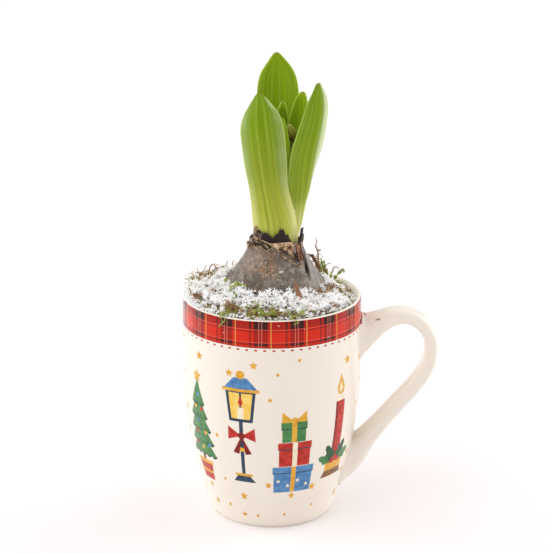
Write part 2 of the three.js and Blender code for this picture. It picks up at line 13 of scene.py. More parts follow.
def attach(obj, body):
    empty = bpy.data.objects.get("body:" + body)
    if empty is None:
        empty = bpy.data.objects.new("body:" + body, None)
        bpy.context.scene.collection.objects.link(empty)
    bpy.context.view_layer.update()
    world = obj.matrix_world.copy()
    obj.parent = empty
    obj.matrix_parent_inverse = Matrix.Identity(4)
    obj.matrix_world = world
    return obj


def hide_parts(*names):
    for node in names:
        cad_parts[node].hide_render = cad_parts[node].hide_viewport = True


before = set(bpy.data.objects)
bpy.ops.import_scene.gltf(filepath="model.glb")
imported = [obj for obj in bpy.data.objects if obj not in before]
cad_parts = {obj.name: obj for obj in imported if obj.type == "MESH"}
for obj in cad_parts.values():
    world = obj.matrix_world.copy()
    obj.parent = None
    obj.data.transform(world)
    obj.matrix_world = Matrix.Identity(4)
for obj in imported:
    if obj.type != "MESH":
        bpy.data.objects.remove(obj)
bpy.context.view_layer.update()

MM = 0.001
TAU = 2 * pi
GOLDEN_ANGLE = radians(137.5)
PLANT_X = 1.6
FRONT = radians(-90)

# Camera, as fitted to the photograph
CAMERA_DISTANCE = 700
CAMERA_HEIGHT = 326.8
CAMERA_PITCH = 17.08
CAMERA_LENS = 104.6
CAMERA_SENSOR = 36
CAMERA_SHIFT = 0.0081

# Mug. Its outlines are radius and height, and the handle's line is x, z, half thickness and half width.
MUG_HEIGHT = 104
MUG_FLOOR = 6
FOOT_RECESS = 1
MUG_OUTSIDE = [
    (28.7, 0.6), (30.1, 4), (32, 12.8), (34.4, 20.5), (36.9, 30), (38.7, 41),
    (40.2, 52), (41, 63), (41.2, 76), (41, 90), (40.8, 102.2),
]
MUG_INSIDE = [
    (17, 6.2), (26, 9.5), (31, 19), (33.8, 30), (35.7, 41),
    (37.2, 52), (38, 63), (38.2, 76), (38.1, 90), (38.1, 101.4),
]
MUG_SIDES = 192
HANDLE = [
    (37.6, 84.6, 10.6, 8.6), (40.6, 85.6, 9.4, 7.8), (44.2, 87.2, 7, 6.8), (49.6, 90.2, 4.9, 6.4),
    (56, 92.9, 3.8, 6.3), (62.4, 93.2, 3.5, 6.3), (68.4, 89.9, 3.3, 6.3), (72.4, 83.6, 3.1, 6.3),
    (73.3, 76, 3.1, 6.3), (71.2, 67.8, 3.2, 6.3), (65.7, 59.2, 3.3, 6.3), (57.6, 49.6, 3.5, 6.3),
    (49.8, 40.3, 3.8, 6.4), (44, 33.1, 4.6, 6.8), (39.4, 27.2, 5.8, 7.8), (35, 22, 6.6, 8.8),
    (30.4, 17.4, 6.2, 9), (26.4, 14, 4.6, 8.6),
]
# How much the handle's roots flare, how near the wall that starts, and how deep they sit in it
ROOT_FLARE, FLARE_REACH, ROOT_DEPTH = 1.6, 3.2, 1.4

# Printed band under the lip, and the row of dashes below it
BAND_BOTTOM = 91.4
BAND_TOP = 103.5
BAND_REPEATS = 16
GOLD_LINE_AT = radians(-90.6)
DASH_HEIGHT = 90.3
DASHES_PER_REPEAT = 4
DASH_SHIFT = 0.18
DASH_HALF_SHARE = 0.17
DASH_HALF_HEIGHT = 0.4
# The radii between which the wall is printed
PRINTED_WALL = (39.6, 41.5)
# The net of facets that carries the print: the width and height of a facet, and the wall's radius
NET_WIDTH, NET_HEIGHT = 2.0, 4.0
NET_RADIUS = 41.0
PRINT_THICKNESS, LAYER_THICKNESS, PRINT_SUNK = 0.04, 0.004, 0.05

# Bulb
BULB_BASE = 72
BULB_TOP = 125.2
BULB_OUTSIDE = [
    (9, BULB_BASE), (15.6, 76.4), (21.6, 83), (25, 90.5), (26, 98), (24.8, 104.5),
    (21.7, 110.8), (18.1, 115.8), (15, 120.8), (13.2, 123.9), (12.5, BULB_TOP),
]
BULB_SIDES = 200
NECK_RADIUS = 10.9
SOCKET_FLOOR = 118.4
SLIT_FOOT = 114
SLIT_LEFT, SLIT_RIGHT = -38, -16

# Leaves: x, y, z of the midrib's back, the direction that it faces, half the width, half the curve
LEAVES = {
    "leaf_front": [
        (1.3, -10.1, 119, -92, 11.6, 66), (1.1, -10.6, 137, -92, 13.0, 72),
        (-1.6, -11.8, 153, -95, 11.1, 64), (-3.8, -12.9, 168, -98, 11.7, 59),
        (-5.3, -13.2, 182, -99, 12.0, 60), (-5.8, -10.6, 191, -99, 12.0, 61),
        (-5.8, -5.6, 197.2, -98, 11.0, 62),
    ],
    "leaf_back": [
        (0.0, 10.1, 119, 99, 8.3, 47), (0.4, 11.0, 137, 98, 9.4, 50),
        (1.2, 12.6, 156, 97, 10.6, 52), (1.7, 14.2, 176, 96, 11.0, 53),
        (2.1, 14.6, 194, 95, 11.2, 54), (2.1, 12.8, 205, 94, 11.6, 55),
        (1.9, 9.4, 212.8, 94, 10.6, 56),
    ],
    "leaf_right": [
        (10.3, 1.6, 119, 2, 5.8, 42), (11.2, 1.7, 128, -2, 6.2, 50),
        (13.4, 1.9, 137, -8, 7.4, 60), (14.9, 1.7, 145, -16, 8.6, 58),
        (16.5, -0.5, 153, -26, 10.0, 58), (18.8, -5.4, 169, -43, 12.2, 64),
        (22.0, -6.4, 186, -43, 11.6, 61), (22.3, -5.6, 195, -44, 11.4, 60),
        (20.8, -3.6, 201.4, -44, 10.4, 60),
    ],
    "leaf_inner_right": [
        (7.0, 3.4, 119.4, 28, 4.2, 56), (8.6, 4.8, 136, 38, 5.0, 56),
        (10.2, 6.4, 152, 48, 5.8, 58), (11.8, 7.0, 168, 58, 6.6, 56),
        (13.5, 6.9, 183, 62, 7.4, 60), (14.1, 4.6, 196, 62, 7.8, 64),
    ],
    "leaf_inner_back": [
        (-1.0, 5.6, 119.4, 122, 3.4, 46), (-0.4, 7.4, 135, 120, 4.0, 46),
        (0.8, 9.0, 150, 114, 4.4, 46), (2.2, 9.8, 165, 108, 4.6, 46),
        (3.6, 10.0, 179, 104, 4.8, 46), (4.8, 7.6, 191.4, 104, 4.6, 50),
    ],
    "leaf_inner_front": [
        (-0.6, -5.4, 119.4, -114, 4.4, 60), (-0.2, -6.2, 134, -116, 5.6, 60),
        (0.4, -6.0, 147, -118, 6.2, 58), (1.4, -5.8, 160, -120, 6.8, 58),
        (2.2, -5.8, 173, -120, 7.2, 60), (3.6, -3.8, 186.4, -118, 6.6, 62),
    ],
    "leaf_inner_left": [
        (-6.8, 1.0, 119.4, 176, 5.0, 58), (-7.6, 1.2, 134, 174, 6.0, 58),
        (-8.4, 1.4, 148, 172, 6.8, 58), (-8.8, 1.6, 162, 170, 7.2, 58),
        (-8.6, 2.0, 176, 170, 7.6, 58), (-6.0, 1.8, 188, 170, 7.0, 60),
    ],
}
OUTER_LEAVES = ("leaf_front", "leaf_back", "leaf_right")
LEAF_CLOSES_FROM = 0.6
LEAF_TIP_SHARE = 0.14
OUTER_LEAF_TAPER = 0.85
INNER_LEAF_TAPER = 0.62
LEAF_ROOT_THICKNESS = 1.5
LEAF_MARGIN_THICKNESS = 0.7
LEAF_ROWS = 80
LEAF_COLUMNS = 32

# Flower spike
SPIKE_TOP = 183
FLORETS = 24
# The stalk: height and radius
STALK = [(118.9, 2.1), (130, 2), (142, 2), (150, 2.4), (158, 2.6), (166, 2.4), (173, 1.9), (179, 1.1)]

# Bedding
BED_AT_BULB = 111
BED_AT_WALL = 103.4
MOSS_FLOOR = 97
BED_INNER = 19
WALL_RADIUS = 38
BED_SLUMP = 4.4
BED_SLUMP_TOWARDS = radians(38)
BED_RISE = 1.3
BED_RISE_TOWARDS = radians(172)
SNOW_THICKNESS = 1.3


# Numbers and curves
def lerp(a, b, t):
    return a + (b - a) * t


def clamp(x):
    return max(0.0, min(1.0, x))


def step(x, low, high):
    t = clamp((x - low) / (high - low))
    return t * t * (3 - 2 * t)


def rough(x, y, z=0.0):
    """Smooth noise from -1 to 1 at a place."""
    return noise.noise(Vector((x, y, z)))


def cubic(a, b, c, d, t):
    """One stretch of a Catmull-Rom curve, between b and c."""
    return tuple(
        0.5 * (2 * q + (r - p) * t + (2 * p - 5 * q + 4 * r - s) * t * t + (3 * q - p - 3 * r + s) * t ** 3)
        for p, q, r, s in zip(a, b, c, d)
    )


def along(points, t, mirrored=True):
    """The place at share t of a smooth curve through points of any dimension."""
    place = clamp(t) * (len(points) - 1)
    i = min(int(place), len(points) - 2)
    b, c = points[i], points[i + 1]
    before = tuple(2 * p - q for p, q in zip(b, c)) if mirrored else b
    after = tuple(2 * q - p for p, q in zip(b, c)) if mirrored else c
    a = points[i - 1] if i > 0 else before
    d = points[i + 2] if i + 2 < len(points) else after
    return cubic(a, b, c, d, place - i)


def smoothed(profile, count):
    return [along(profile, i / count, mirrored=False) for i in range(count + 1)]


def radius_at(profile, height):
    """The radius of a [radius, height] outline at a height."""
    for (r0, z0), (r1, z1) in zip(profile, profile[1:]):
        if height <= z1:
            return lerp(r0, r1, clamp((height - z0) / (z1 - z0)))
    return profile[-1][0]


def angles(count):
    """So many equal steps round a circle."""
    return [k / count * TAU for k in range(count)]


def polar(radius, angle, height, centre_x=0.0):
    return Vector((centre_x + radius * cos(angle), radius * sin(angle), height))


# Meshes
class Mesh:
    """Points, faces and their material numbers and UVs, gathered before they become an object."""

    def __init__(self):
        self.points = []
        self.faces = []
        self.slots = []
        self.uvs = []

    def add(self, points, faces, material=0, uvs=None):
        base = len(self.points)
        self.points.extend(points)
        for face in faces:
            self.faces.append(tuple(base + k for k in face))
            self.slots.append(material)
            self.uvs.append([uvs[k] for k in face] if uvs else [(0.0, 0.0)] * len(face))


def make_object(name, mesh, materials, smooth=True):
    data = bpy.data.meshes.new(name)
    data.from_pydata([tuple(c * MM for c in p) for p in mesh.points], [], mesh.faces)
    layer = data.uv_layers.new(name="UVMap")
    layer.data.foreach_set("uv", [value for face in mesh.uvs for pair in face for value in pair])
    for material in materials:
        data.materials.append(material)
    data.polygons.foreach_set("material_index", mesh.slots)
    data.polygons.foreach_set("use_smooth", [smooth] * len(data.polygons))
    data.validate()
    data.update()
    item = bpy.data.objects.new(name, data)
    bpy.context.scene.collection.objects.link(item)
    return item


def add_piece(name, mesh, materials, slot, *nodes, smooth=True):
    """An object that rides on the only body and stands for the named nodes. slot is not used."""
    item = make_object(name, mesh, materials, smooth)
    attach(item, "root")
    if nodes:
        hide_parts(*nodes)


def grid_faces(rows, columns, wrap=False, loop=False):
    """Quads of a grid of points. With wrap, its columns close on themselves, and with loop, its rows."""
    faces = []
    for i in range(rows if loop else rows - 1):
        for j in range(columns if wrap else columns - 1):
            here, above, k = i * columns, (i + 1) % rows * columns, (j + 1) % columns
            faces.append((here + j, here + k, above + k, above + j))
    return faces


def rod_faces(rows, sides):
    """Faces of a closed rod: rings of points, with a flat cap at each end."""
    last = (rows - 1) * sides
    caps = [tuple(reversed(range(sides))), tuple(last + j for j in range(sides))]
    return grid_faces(rows, sides, wrap=True) + caps


def sheet_faces(rows, columns):
    """Faces of a thin closed sheet: its outer grid of points first, then its inner one."""
    width = columns + 1
    shift = (rows + 1) * width
    outer = grid_faces(rows + 1, width)
    faces = outer + [tuple(shift + k for k in reversed(face)) for face in outer]
    for j in range(columns):
        top = rows * width + j
        faces.append((j + 1, j, shift + j, shift + j + 1))
        faces.append((top, top + 1, shift + top + 1, shift + top))
    for i in range(rows):
        left, right = i * width, i * width + columns
        faces.append((left, left + width, shift + left + width, shift + left))
        faces.append((right + width, right, shift + right, shift + right + width))
    return faces


def turned(profile, sides, centre_x=0.0, shape=None):
    """Points and faces of a turned skin whose outline starts and ends on the axis."""
    rings = profile[1:-1]
    points = []
    for r, z in rings:
        for angle in angles(sides):
            points.append(polar(r + (shape(angle, z, r) if shape else 0.0), angle, z, centre_x))
    faces = grid_faces(len(rings), sides, wrap=True)
    last = (len(rings) - 1) * sides
    for j in range(sides):
        faces.append((len(points), (j + 1) % sides, j))
    for j in range(sides):
        faces.append((len(points) + 1, last + j, last + (j + 1) % sides))
    points += [Vector((centre_x, 0, profile[0][1])), Vector((centre_x, 0, profile[-1][1]))]
    return points, faces


def tube(path, radii, sides):
    """Points and faces of a tapering rod along a list of points."""
    points = []
    side = Vector((1, 0, 0))
    for i, here in enumerate(path):
        ahead = (path[min(i + 1, len(path) - 1)] - path[max(i - 1, 0)]).normalized()
        side = side - ahead * side.dot(ahead)
        side = side.normalized() if side.length > 1e-3 else ahead.orthogonal().normalized()
        other = ahead.cross(side)
        for angle in angles(sides):
            points.append(here + (side * cos(angle) + other * sin(angle)) * radii[i])
    return points, rod_faces(len(path), sides)


def shard(centre, direction, length, width, thickness):
    """A pointed closed splinter: four corners round the middle and two tips."""
    ahead = direction.normalized()
    side = ahead.orthogonal().normalized()
    up = ahead.cross(side)
    points = [
        centre - ahead * length / 2, centre + side * width / 2, centre + up * thickness / 2,
        centre - side * width / 2, centre - up * thickness / 2, centre + ahead * length / 2,
    ]
    faces = [(0, 2, 1), (0, 3, 2), (0, 4, 3), (0, 1, 4), (5, 1, 2), (5, 2, 3), (5, 3, 4), (5, 4, 1)]
    return points, faces


# Materials
def linear(code):
    """A six-digit sRGB colour as linear RGBA."""
    values = [int(code[i:i + 2], 16) / 255 for i in (0, 2, 4)]
    bent = [v / 12.92 if v <= 0.04045 else ((v + 0.055) / 1.055) ** 2.4 for v in values]
    return (*bent, 1.0)


class Shader:
    """A material's nodes, with a short call for each kind used here. Colours are six-digit codes."""

    def __init__(self, name, roughness, settings=None):
        self.material = bpy.data.materials.new(name)
        self.material.use_nodes = True
        self.tree = self.material.node_tree
        self.surface = self.tree.nodes["Principled BSDF"]
        self.surface.inputs["Roughness"].default_value = roughness
        self.colour = None
        for socket, value in (settings or {}).items():
            self.surface.inputs[socket].default_value = value

    def put(self, socket, value):
        if hasattr(value, "is_output"):
            self.tree.links.new(value, socket)
        else:
            socket.default_value = linear(value) if isinstance(value, str) else value

    def node(self, kind, inputs, **choices):
        """A new node: its choices are made, then a value or a link goes into each input."""
        node = self.tree.nodes.new("ShaderNode" + kind)
        for name, choice in choices.items():
            setattr(node, name, choice)
        for socket, value in inputs.items():
            self.put(node.inputs[socket], value)
        return node

    def done(self, relief, depth, strength):
        """The finished material, with what was painted, and a relief as a bump of a depth in metres."""
        self.put(self.surface.inputs["Base Color"], self.colour)
        bump = self.node("Bump", {"Height": relief, "Distance": depth, "Strength": strength})
        self.put(self.surface.inputs["Normal"], bump.outputs[0])
        return self.material

    def place(self, stretch=None):
        """Object coordinates in metres, as one vector, stretched if asked."""
        place = self.node("TexCoord", {}).outputs["Object"]
        return self.node("Mapping", {"Vector": place, "Scale": stretch}).outputs[0] if stretch else place

    def uv(self):
        return self.node("TexCoord", {}).outputs["UV"]

    def split(self, vector):
        return self.node("SeparateXYZ", {0: vector}).outputs

    def noise(self, scale, detail, rough=0.5, distortion=0.0, vector=None):
        """Cloudy noise on a vector, or on the object's place."""
        inputs = {"Scale": scale, "Detail": detail, "Roughness": rough, "Distortion": distortion}
        return self.node("TexNoise", {"Vector": vector or self.place(), **inputs}).outputs[0]

    def streaks(self, across, ahead, rough=0.5, scale=1.0, detail=3):
        """Noise on the UVs, so many times as fine across and ahead."""
        drawn_out = self.node("Mapping", {"Vector": self.uv(), "Scale": (across, ahead, 1)}).outputs[0]
        return self.noise(scale, detail, rough, vector=drawn_out)

    def ramp(self, factor, stops):
        node = self.node("ValToRGB", {0: factor})
        elements = node.color_ramp.elements
        while len(elements) < len(stops):
            elements.new(0.5)
        for element, (position, code) in zip(elements, stops):
            element.position = position
            element.color = linear(code)
        return node.outputs[0]

    def mix(self, share, under, over):
        return self.node("Mix", {0: share, 6: under, 7: over}, data_type="RGBA").outputs[2]

    def paint(self, over, *shares):
        """Lay a colour over what is painted so far, by the product of the shares."""
        self.colour = self.mix(self.times(*shares), self.colour, over)

    def math(self, operation, *values):
        return self.node("Math", dict(enumerate(values)), operation=operation).outputs[0]

    def times(self, first, *others):
        for other in others:
            first = self.math("MULTIPLY", first, other)
        return first

    def either(self, first, *others):
        for other in others:
            first = self.math("MAXIMUM", first, other)
        return first

    def plus(self, first, second):
        return self.math("ADD", first, second)

    def minus(self, first, second):
        return self.math("SUBTRACT", first, second)

    def line(self, value, slope, start):
        return self.math("MULTIPLY_ADD", value, slope, start)

    def between(self, value, low, high):
        """1 between the two limits, and 0 elsewhere."""
        return self.times(self.math("GREATER_THAN", value, low), self.math("LESS_THAN", value, high))

    def fade(self, value, low, high, curve="SMOOTHSTEP"):
        """A rise from 0 at low to 1 at high."""
        inputs = {"Value": value, "From Min": low, "From Max": high}
        return self.node("MapRange", inputs, interpolation_type=curve).outputs[0]

    def fall(self, value, low, high):
        """A smooth fall from 1 at low to 0 at high."""
        return self.minus(1.0, self.fade(value, low, high))

    def hump(self, value, foot, top, end_of_top, end):
        """A smooth rise from 0 to 1, and then a smooth fall back."""
        return self.times(self.fade(value, foot, top), self.fall(value, end_of_top, end))

    def near(self, value, middle, inner, outer):
        """1 within the inner distance of a middle, falling to 0 at the outer one."""
        return self.fall(self.math("ABSOLUTE", self.minus(value, middle)), inner, outer)


def glaze(name):
    return Shader(name, 0.16, {
        "Specular IOR Level": 0.5, "Specular Tint": (0.35, 0.35, 0.35, 1),
        "Coat Weight": 0.12, "Coat Roughness": 0.05,
    })


def porcelain_material():
    """Cream glaze, with a tartan band under the lip and a row of dashes below it."""
    s = glaze("porcelain")
    x, y, z = s.split(s.place())
    height = s.times(z, 1 / MM)
    turns = s.math("DIVIDE", s.minus(s.math("ARCTAN2", y, x), GOLD_LINE_AT - TAU), TAU / BAND_REPEATS)
    across = s.math("FRACT", turns)

    # Stripes up the band, as shares of one repeat from its gold line
    block = s.between(across, 0.528, 0.912)
    thin_dark = s.between(across, 0.405, 0.447)
    pale = s.either(s.between(across, 0.654, 0.676), s.between(across, 0.735, 0.757))
    gold = s.either(s.between(across, -0.1, 0.018), s.between(across, 0.982, 1.1))
    # Stripes round the band, as heights
    upper = s.between(height, 100.1, 103.5)
    upper_edge = s.between(height, 100.1, 100.7)
    thin_round = s.between(height, 98.8, 99.3)
    lower = s.between(height, 92.5, 93.6)
    pale_round = s.either(s.between(height, 99.65, 99.85), s.between(height, 93.85, 94.1))
    round_dark = s.either(upper, lower, s.between(height, 90.0, 91.9))
    crossing = s.times(s.either(block, thin_dark), s.either(upper, lower))

    s.colour = s.mix(s.noise(60, 2), "de2700", "cc1f00")
    s.paint("940f00", s.either(block, round_dark), 0.75)
    s.paint("5c0d08", s.either(thin_dark, thin_round), 0.7)
    s.paint("f0907a", pale_round, 0.35)
    s.paint("250c0b", crossing, 0.93)
    s.paint("120404", upper_edge, block, 0.8)
    s.paint("f2927c", pale, 0.5)
    s.paint("dfa050", gold, 0.68)
    red = s.colour

    dash_place = s.math("FRACT", s.line(across, DASHES_PER_REPEAT, DASH_SHIFT))
    dash_x = s.math("DIVIDE", s.minus(dash_place, 0.5), DASH_HALF_SHARE)
    dash_z = s.math("DIVIDE", s.minus(height, DASH_HEIGHT), DASH_HALF_HEIGHT)
    dash = s.math("LESS_THAN", s.plus(s.math("POWER", dash_x, 4), s.math("POWER", dash_z, 4)), 1)
    out = s.plus(s.math("POWER", x, 2), s.math("POWER", y, 2))
    on_wall = s.between(out, (PRINTED_WALL[0] * MM) ** 2, (PRINTED_WALL[1] * MM) ** 2)
    s.colour = s.mix(s.noise(25, 2), "f3ebdf", "f0e6d8")
    s.paint("bb3a34", dash, on_wall)
    s.paint(red, s.between(height, BAND_BOTTOM, BAND_TOP), on_wall)
    return s.done(s.noise(40, 2), 0.0002, 0.05)


def print_material(name, colour, darker):
    """A glazed printed colour, a little uneven like a wash of paint."""
    s = glaze(name)
    s.put(s.surface.inputs["Base Color"], s.mix(s.fade(s.noise(420, 3), 0.35, 0.7), colour, darker))
    return s.material


def leaf_material(name, bloom, margin, painted_lift=0.0, pale_side=0.0, painted_sheen=0.0):
    """Waxy green: pale at the foot, parallel veins, a grey bloom that is partly painted highlight, pale
    margins.

    margin is the share and colour of the edges, painted_lift is painted light that lifts the whole leaf
    against its shade, pale_side is the share of pale colour on one side of the keel, partly bloom and partly
    painted highlight, and painted_sheen that of a painted highlight, a pale streak on the right below the
    tip.
    """
    s = Shader(name, 0.42, {
        "Specular IOR Level": 0.09, "Subsurface Weight": 0.1,
        "Subsurface Radius": (0.6, 1.0, 0.1), "Subsurface Scale": 0.0015,
    })
    u, v, _ = s.split(s.uv())
    from_middle = s.math("ABSOLUTE", s.minus(u, 0.5))
    fine = s.math("SINE", s.times(s.line(s.streaks(4, 1.4, scale=3, detail=2), 0.05, u), 230))
    veins = s.streaks(46, 0.8, 0.6)
    broad = s.streaks(19, 0.5, 0.6)
    s.colour = s.ramp(v, [
        (0.0, "d2ce74"), (0.14, "cac958"), (0.27, "b4b83e"),
        (0.45, "92a226"), (0.7, "7b990a"), (1.0, "739502"),
    ])
    # Painted light: the whole leaf is lifted towards a vivid green, against the shade it stands in
    s.paint("b6da1c", painted_lift)
    s.paint("b9c850", s.fade(broad, 0.44, 0.66), 0.42)
    s.paint("5c8206", s.fade(veins, 0.48, 0.66), 0.7)
    s.paint("4a7204", s.fade(fine, 0.1, 1.0), 0.2)
    patch = s.line(s.fade(s.noise(90, 3), 0.4, 0.65), 0.5, 0.5)
    # A grey bloom on the sides, partly the leaf's wax and partly a painted highlight along its edges
    bloom_and_highlight = s.times(s.hump(v, 0.25, 0.42, 0.72, 1.0), s.fade(from_middle, 0.16, 0.44), patch)
    s.paint("9fb272", bloom_and_highlight, bloom)
    # Painted highlight: a pale streak on the right just below the tip
    streak = s.times(s.hump(v, 0.8, 0.9, 0.95, 0.99), s.fade(u, 0.76, 0.87))
    s.paint("c9d8a2", streak, painted_sheen)
    # One side of the keel paler, partly bloom and partly a painted highlight
    edge_on = s.times(s.fade(u, 0.44, 0.62), s.line(veins, 0.6, 0.6))
    s.paint("d8e4b6", edge_on, pale_side)
    low = s.fall(v, 0.15, 0.5)
    foot = s.either(s.times(low, s.fade(from_middle, 0.2, 0.42)), s.times(low, pale_side))
    s.paint("dfdd98", foot, 0.65)
    tinge = s.times(s.hump(v, 0.06, 0.2, 0.34, 0.6), s.fade(s.streaks(14, 1.5), 0.52, 0.7))
    s.paint("a08a48", tinge, 0.4)
    s.paint("93794a", s.fade(v, 0.984, 0.998), 0.6)
    rim = s.times(s.fade(from_middle, 0.458, 0.478), s.fade(v, 0.2, 0.45))
    s.paint(margin[1], rim, margin[0])
    s.put(s.surface.inputs["Roughness"], s.line(s.streaks(30, 3), 0.2, 0.34))
    return s.done(s.plus(s.times(fine, 0.35), veins), 0.0002, 0.5)


def tunic_shader(name):
    return Shader(name, 0.66, {"Specular IOR Level": 0.25, "Sheen Weight": 0.2, "Sheen Roughness": 0.5})


def round_plant(s):
    """x in metres, the angle round the plant's axis, and the height in millimetres."""
    x, y, z = s.split(s.place())
    return x, s.math("ARCTAN2", y, s.minus(x, PLANT_X * MM)), s.times(z, 1 / MM)


def bulb_material():
    s = tunic_shader("bulb_tunic")
    return s.done(paint_tunic(s), 0.0004, 0.6)


def paint_tunic(s):
    """Paint the papery tunic, grained, with a torn patch, a slit and pale specks, and return its relief."""
    x, angle, height = round_plant(s)
    ridges = s.node("CombineXYZ", {0: s.times(angle, 9), 1: s.times(height, 0.05)}).outputs[0]
    fine = s.noise(4, 5, 0.65, vector=ridges)
    grain = s.noise(1100, 4, 0.75)
    broad = s.noise(110, 6, 0.7)
    mottle = s.noise(400, 3, 0.6)
    torn = s.noise(360, 5, 0.7, 0.6, vector=s.place((1, 1, 0.55)))
    s.colour = s.ramp(broad, [(0.3, "52483f"), (0.44, "786c60"), (0.56, "958a7d"), (0.7, "b0a699")])
    warm = s.times(s.fade(s.times(x, -1 / MM), -10, 12), s.fade(broad, 0.4, 0.6))
    s.paint("94775c", warm, 0.45)
    s.paint("52473e", s.fade(fine, 0.45, 0.66), 0.4)
    s.paint("4a4037", s.fade(mottle, 0.5, 0.62), 0.45)
    s.paint("bdb2a4", s.fall(mottle, 0.36, 0.47), 0.4)
    s.paint("453b33", s.fall(height, 112.5, 118), s.near(angle, -1.75, 0.35, 0.95), 0.55)

    # The torn patch in front, with scraps and cracks
    worn = s.times(s.near(angle, -1.88, 0.16, 0.5), s.hump(height, 114, 118, 125, 127.5))
    patch = s.times(worn, s.fade(torn, 0.46, 0.56), 0.9)
    scraps = s.times(s.fade(s.noise(210, 3, 0.5, 1.2), 0.68, 0.72), 0.6)
    s.paint("946b48", s.either(patch, scraps))
    s.paint("3a2a20", worn, s.fall(torn, 0.38, 0.45), 0.9)
    s.paint("9d8265", s.fade(height, 121, 124.5), s.fade(fine, 0.42, 0.6), 0.35)
    under = s.times(s.near(angle, -1.5, 0.15, 0.5), s.fade(height, 120, 124))
    s.paint("574a3e", under, s.fade(broad, 0.38, 0.6), 0.7)

    # The slit, and the pale flap beside it
    share = s.math("POWER", s.fade(height, SLIT_FOOT, BULB_TOP, "LINEAR"), 1.5)
    beside = s.minus(angle, s.line(share, radians(SLIT_RIGHT - SLIT_LEFT), radians(SLIT_LEFT)))
    slit = s.fall(s.math("ABSOLUTE", beside), 0.025, 0.055)
    s.paint("a8a29b", s.hump(beside, 0.02, 0.06, 0.3, 0.7), 0.5)
    cells = s.node("TexVoronoi", {"Vector": s.place(), "Scale": 420}).outputs["Distance"]
    specks = s.times(s.math("LESS_THAN", cells, 0.095), s.fade(s.noise(60, 2), 0.5, 0.6))
    s.paint("e8e2da", specks)
    s.paint("4e4339", s.fade(grain, 0.5, 0.64), 0.5)
    s.paint("c4bbae", s.fall(grain, 0.34, 0.46), 0.4)
    s.paint("120907", slit, s.fade(height, 115, 117.5))
    return s.plus(fine, grain)


def neck_ring_material():
    """The tunic low down, then brown skin that is torn, black in front, and tan at the front right."""
    s = tunic_shader("neck_ring")
    _, turn, height = round_plant(s)
    relief = paint_tunic(s)
    tunic = s.colour
    grain = s.noise(420, 5, 0.65, vector=s.place((1, 1, 0.35)))
    torn = s.noise(260, 4, 0.7)
    s.colour = s.ramp(grain, [(0.42, "1c130e"), (0.5, "543b2a"), (0.57, "9c7a58"), (0.66, "dcc4a4")])
    past_edge = s.minus(height, s.line(grain, 1.2, 130.0))
    black = s.times(s.near(turn, -1.52, 0.5, 0.75), s.fade(past_edge, -0.2, 0.3))
    s.paint(s.mix(grain, "0e0a0a", "33241f"), black)
    tan = s.times(s.fall(past_edge, -0.4, 0), s.near(turn, -1.2, 0.35, 0.6))
    s.paint(s.ramp(torn, [(0.35, "8d6646"), (0.55, "d6b48c")]), tan, 0.85)
    limit = s.line(s.fade(turn, radians(-95), radians(-58)), -2.8, 128.0)
    above = s.minus(height, s.line(torn, 2.4, limit))
    s.colour = s.mix(s.fade(above, -0.35, 0.35), tunic, s.colour)
    s.paint("2a1c14", s.near(above, -0.3, 0.1, 0.6), s.fade(grain, 0.42, 0.56), 0.8)
    return s.done(relief, 0.0004, 0.6)


def uneven_material(name, colours, scale, roughness, depth=0.0003, subsurface=0.0, glow=0.0):
    """A natural dry surface whose colour wanders through a list of colours.

    glow is painted light: a faint even emission that lightens loose snow, standing in for the light that
    passes from flake to flake.
    """
    # Emission paints an even glow of light onto the surface, by the share glow
    s = Shader(name, roughness, {
        "Subsurface Weight": subsurface, "Subsurface Radius": (1.0, 1.0, 1.0), "Subsurface Scale": 0.0015,
        "Emission Color": (1.0, 0.985, 0.96, 1), "Emission Strength": glow,
    })
    last = len(colours) - 1
    stops = [(0.3 + 0.4 * i / last, code) for i, code in enumerate(colours)]
    s.colour = s.ramp(s.noise(scale, 5, 0.6), stops)
    return s.done(s.noise(scale * 3, 4), depth, 0.6)


def floret_material():
    s = Shader("floret_skin", 0.45)
    grain = s.noise(500, 3)
    _, v, _ = s.split(s.uv())
    s.colour = s.ramp(v, [
        (0.0, "4c3a0c"), (0.3, "76621c"), (0.6, "949220"), (0.9, "b2ba44"), (1.0, "b8a450"),
    ])
    s.paint("6a4a1c", grain, 0.35)
    return s.done(grain, 0.0002, 0.4)


def snow_bank_material():
    s = Shader("snow_bank", 0.7)
    holes = s.fade(s.noise(480, 4, 0.75), 0.44, 0.52)
    s.colour = s.mix(holes, "4a3520", "fdfbf9")
    return s.done(s.noise(900, 4, 0.7), 0.0008, 0.9)


def floor_material():
    s = Shader("floor", 0.55)
    s.colour = s.mix(s.noise(3, 4), "f5f0f1", "f8f4f5")
    return s.done(s.noise(9, 3, vector=s.place((1, 2, 1))), 0.002, 0.12)


# Mug
MUG_FOOT = [(0, FOOT_RECESS), (24.4, FOOT_RECESS), (24.8, 0.3), (25.2, 0), (28.1, 0), (28.5, 0.2)]
MUG_FINE = smoothed(MUG_OUTSIDE, 96)
MUG_LIP = [
    (40.75, 103), (40.45, 103.6), (40.1, 103.9), (39.8, MUG_HEIGHT),
    (39.45, 103.85), (38.95, 103.4), (38.5, 102.7),
]


def mug_piece():
    inside = list(reversed(smoothed(MUG_INSIDE, 60))) + [(0, MUG_FLOOR)]
    mesh = Mesh()
    mesh.add(*turned(MUG_FOOT + MUG_FINE + MUG_LIP + inside, MUG_SIDES))
    mesh.add(*handle_skin())
    add_piece("mug_glazed", mesh, [porcelain_material()], "porcelain", "mug")


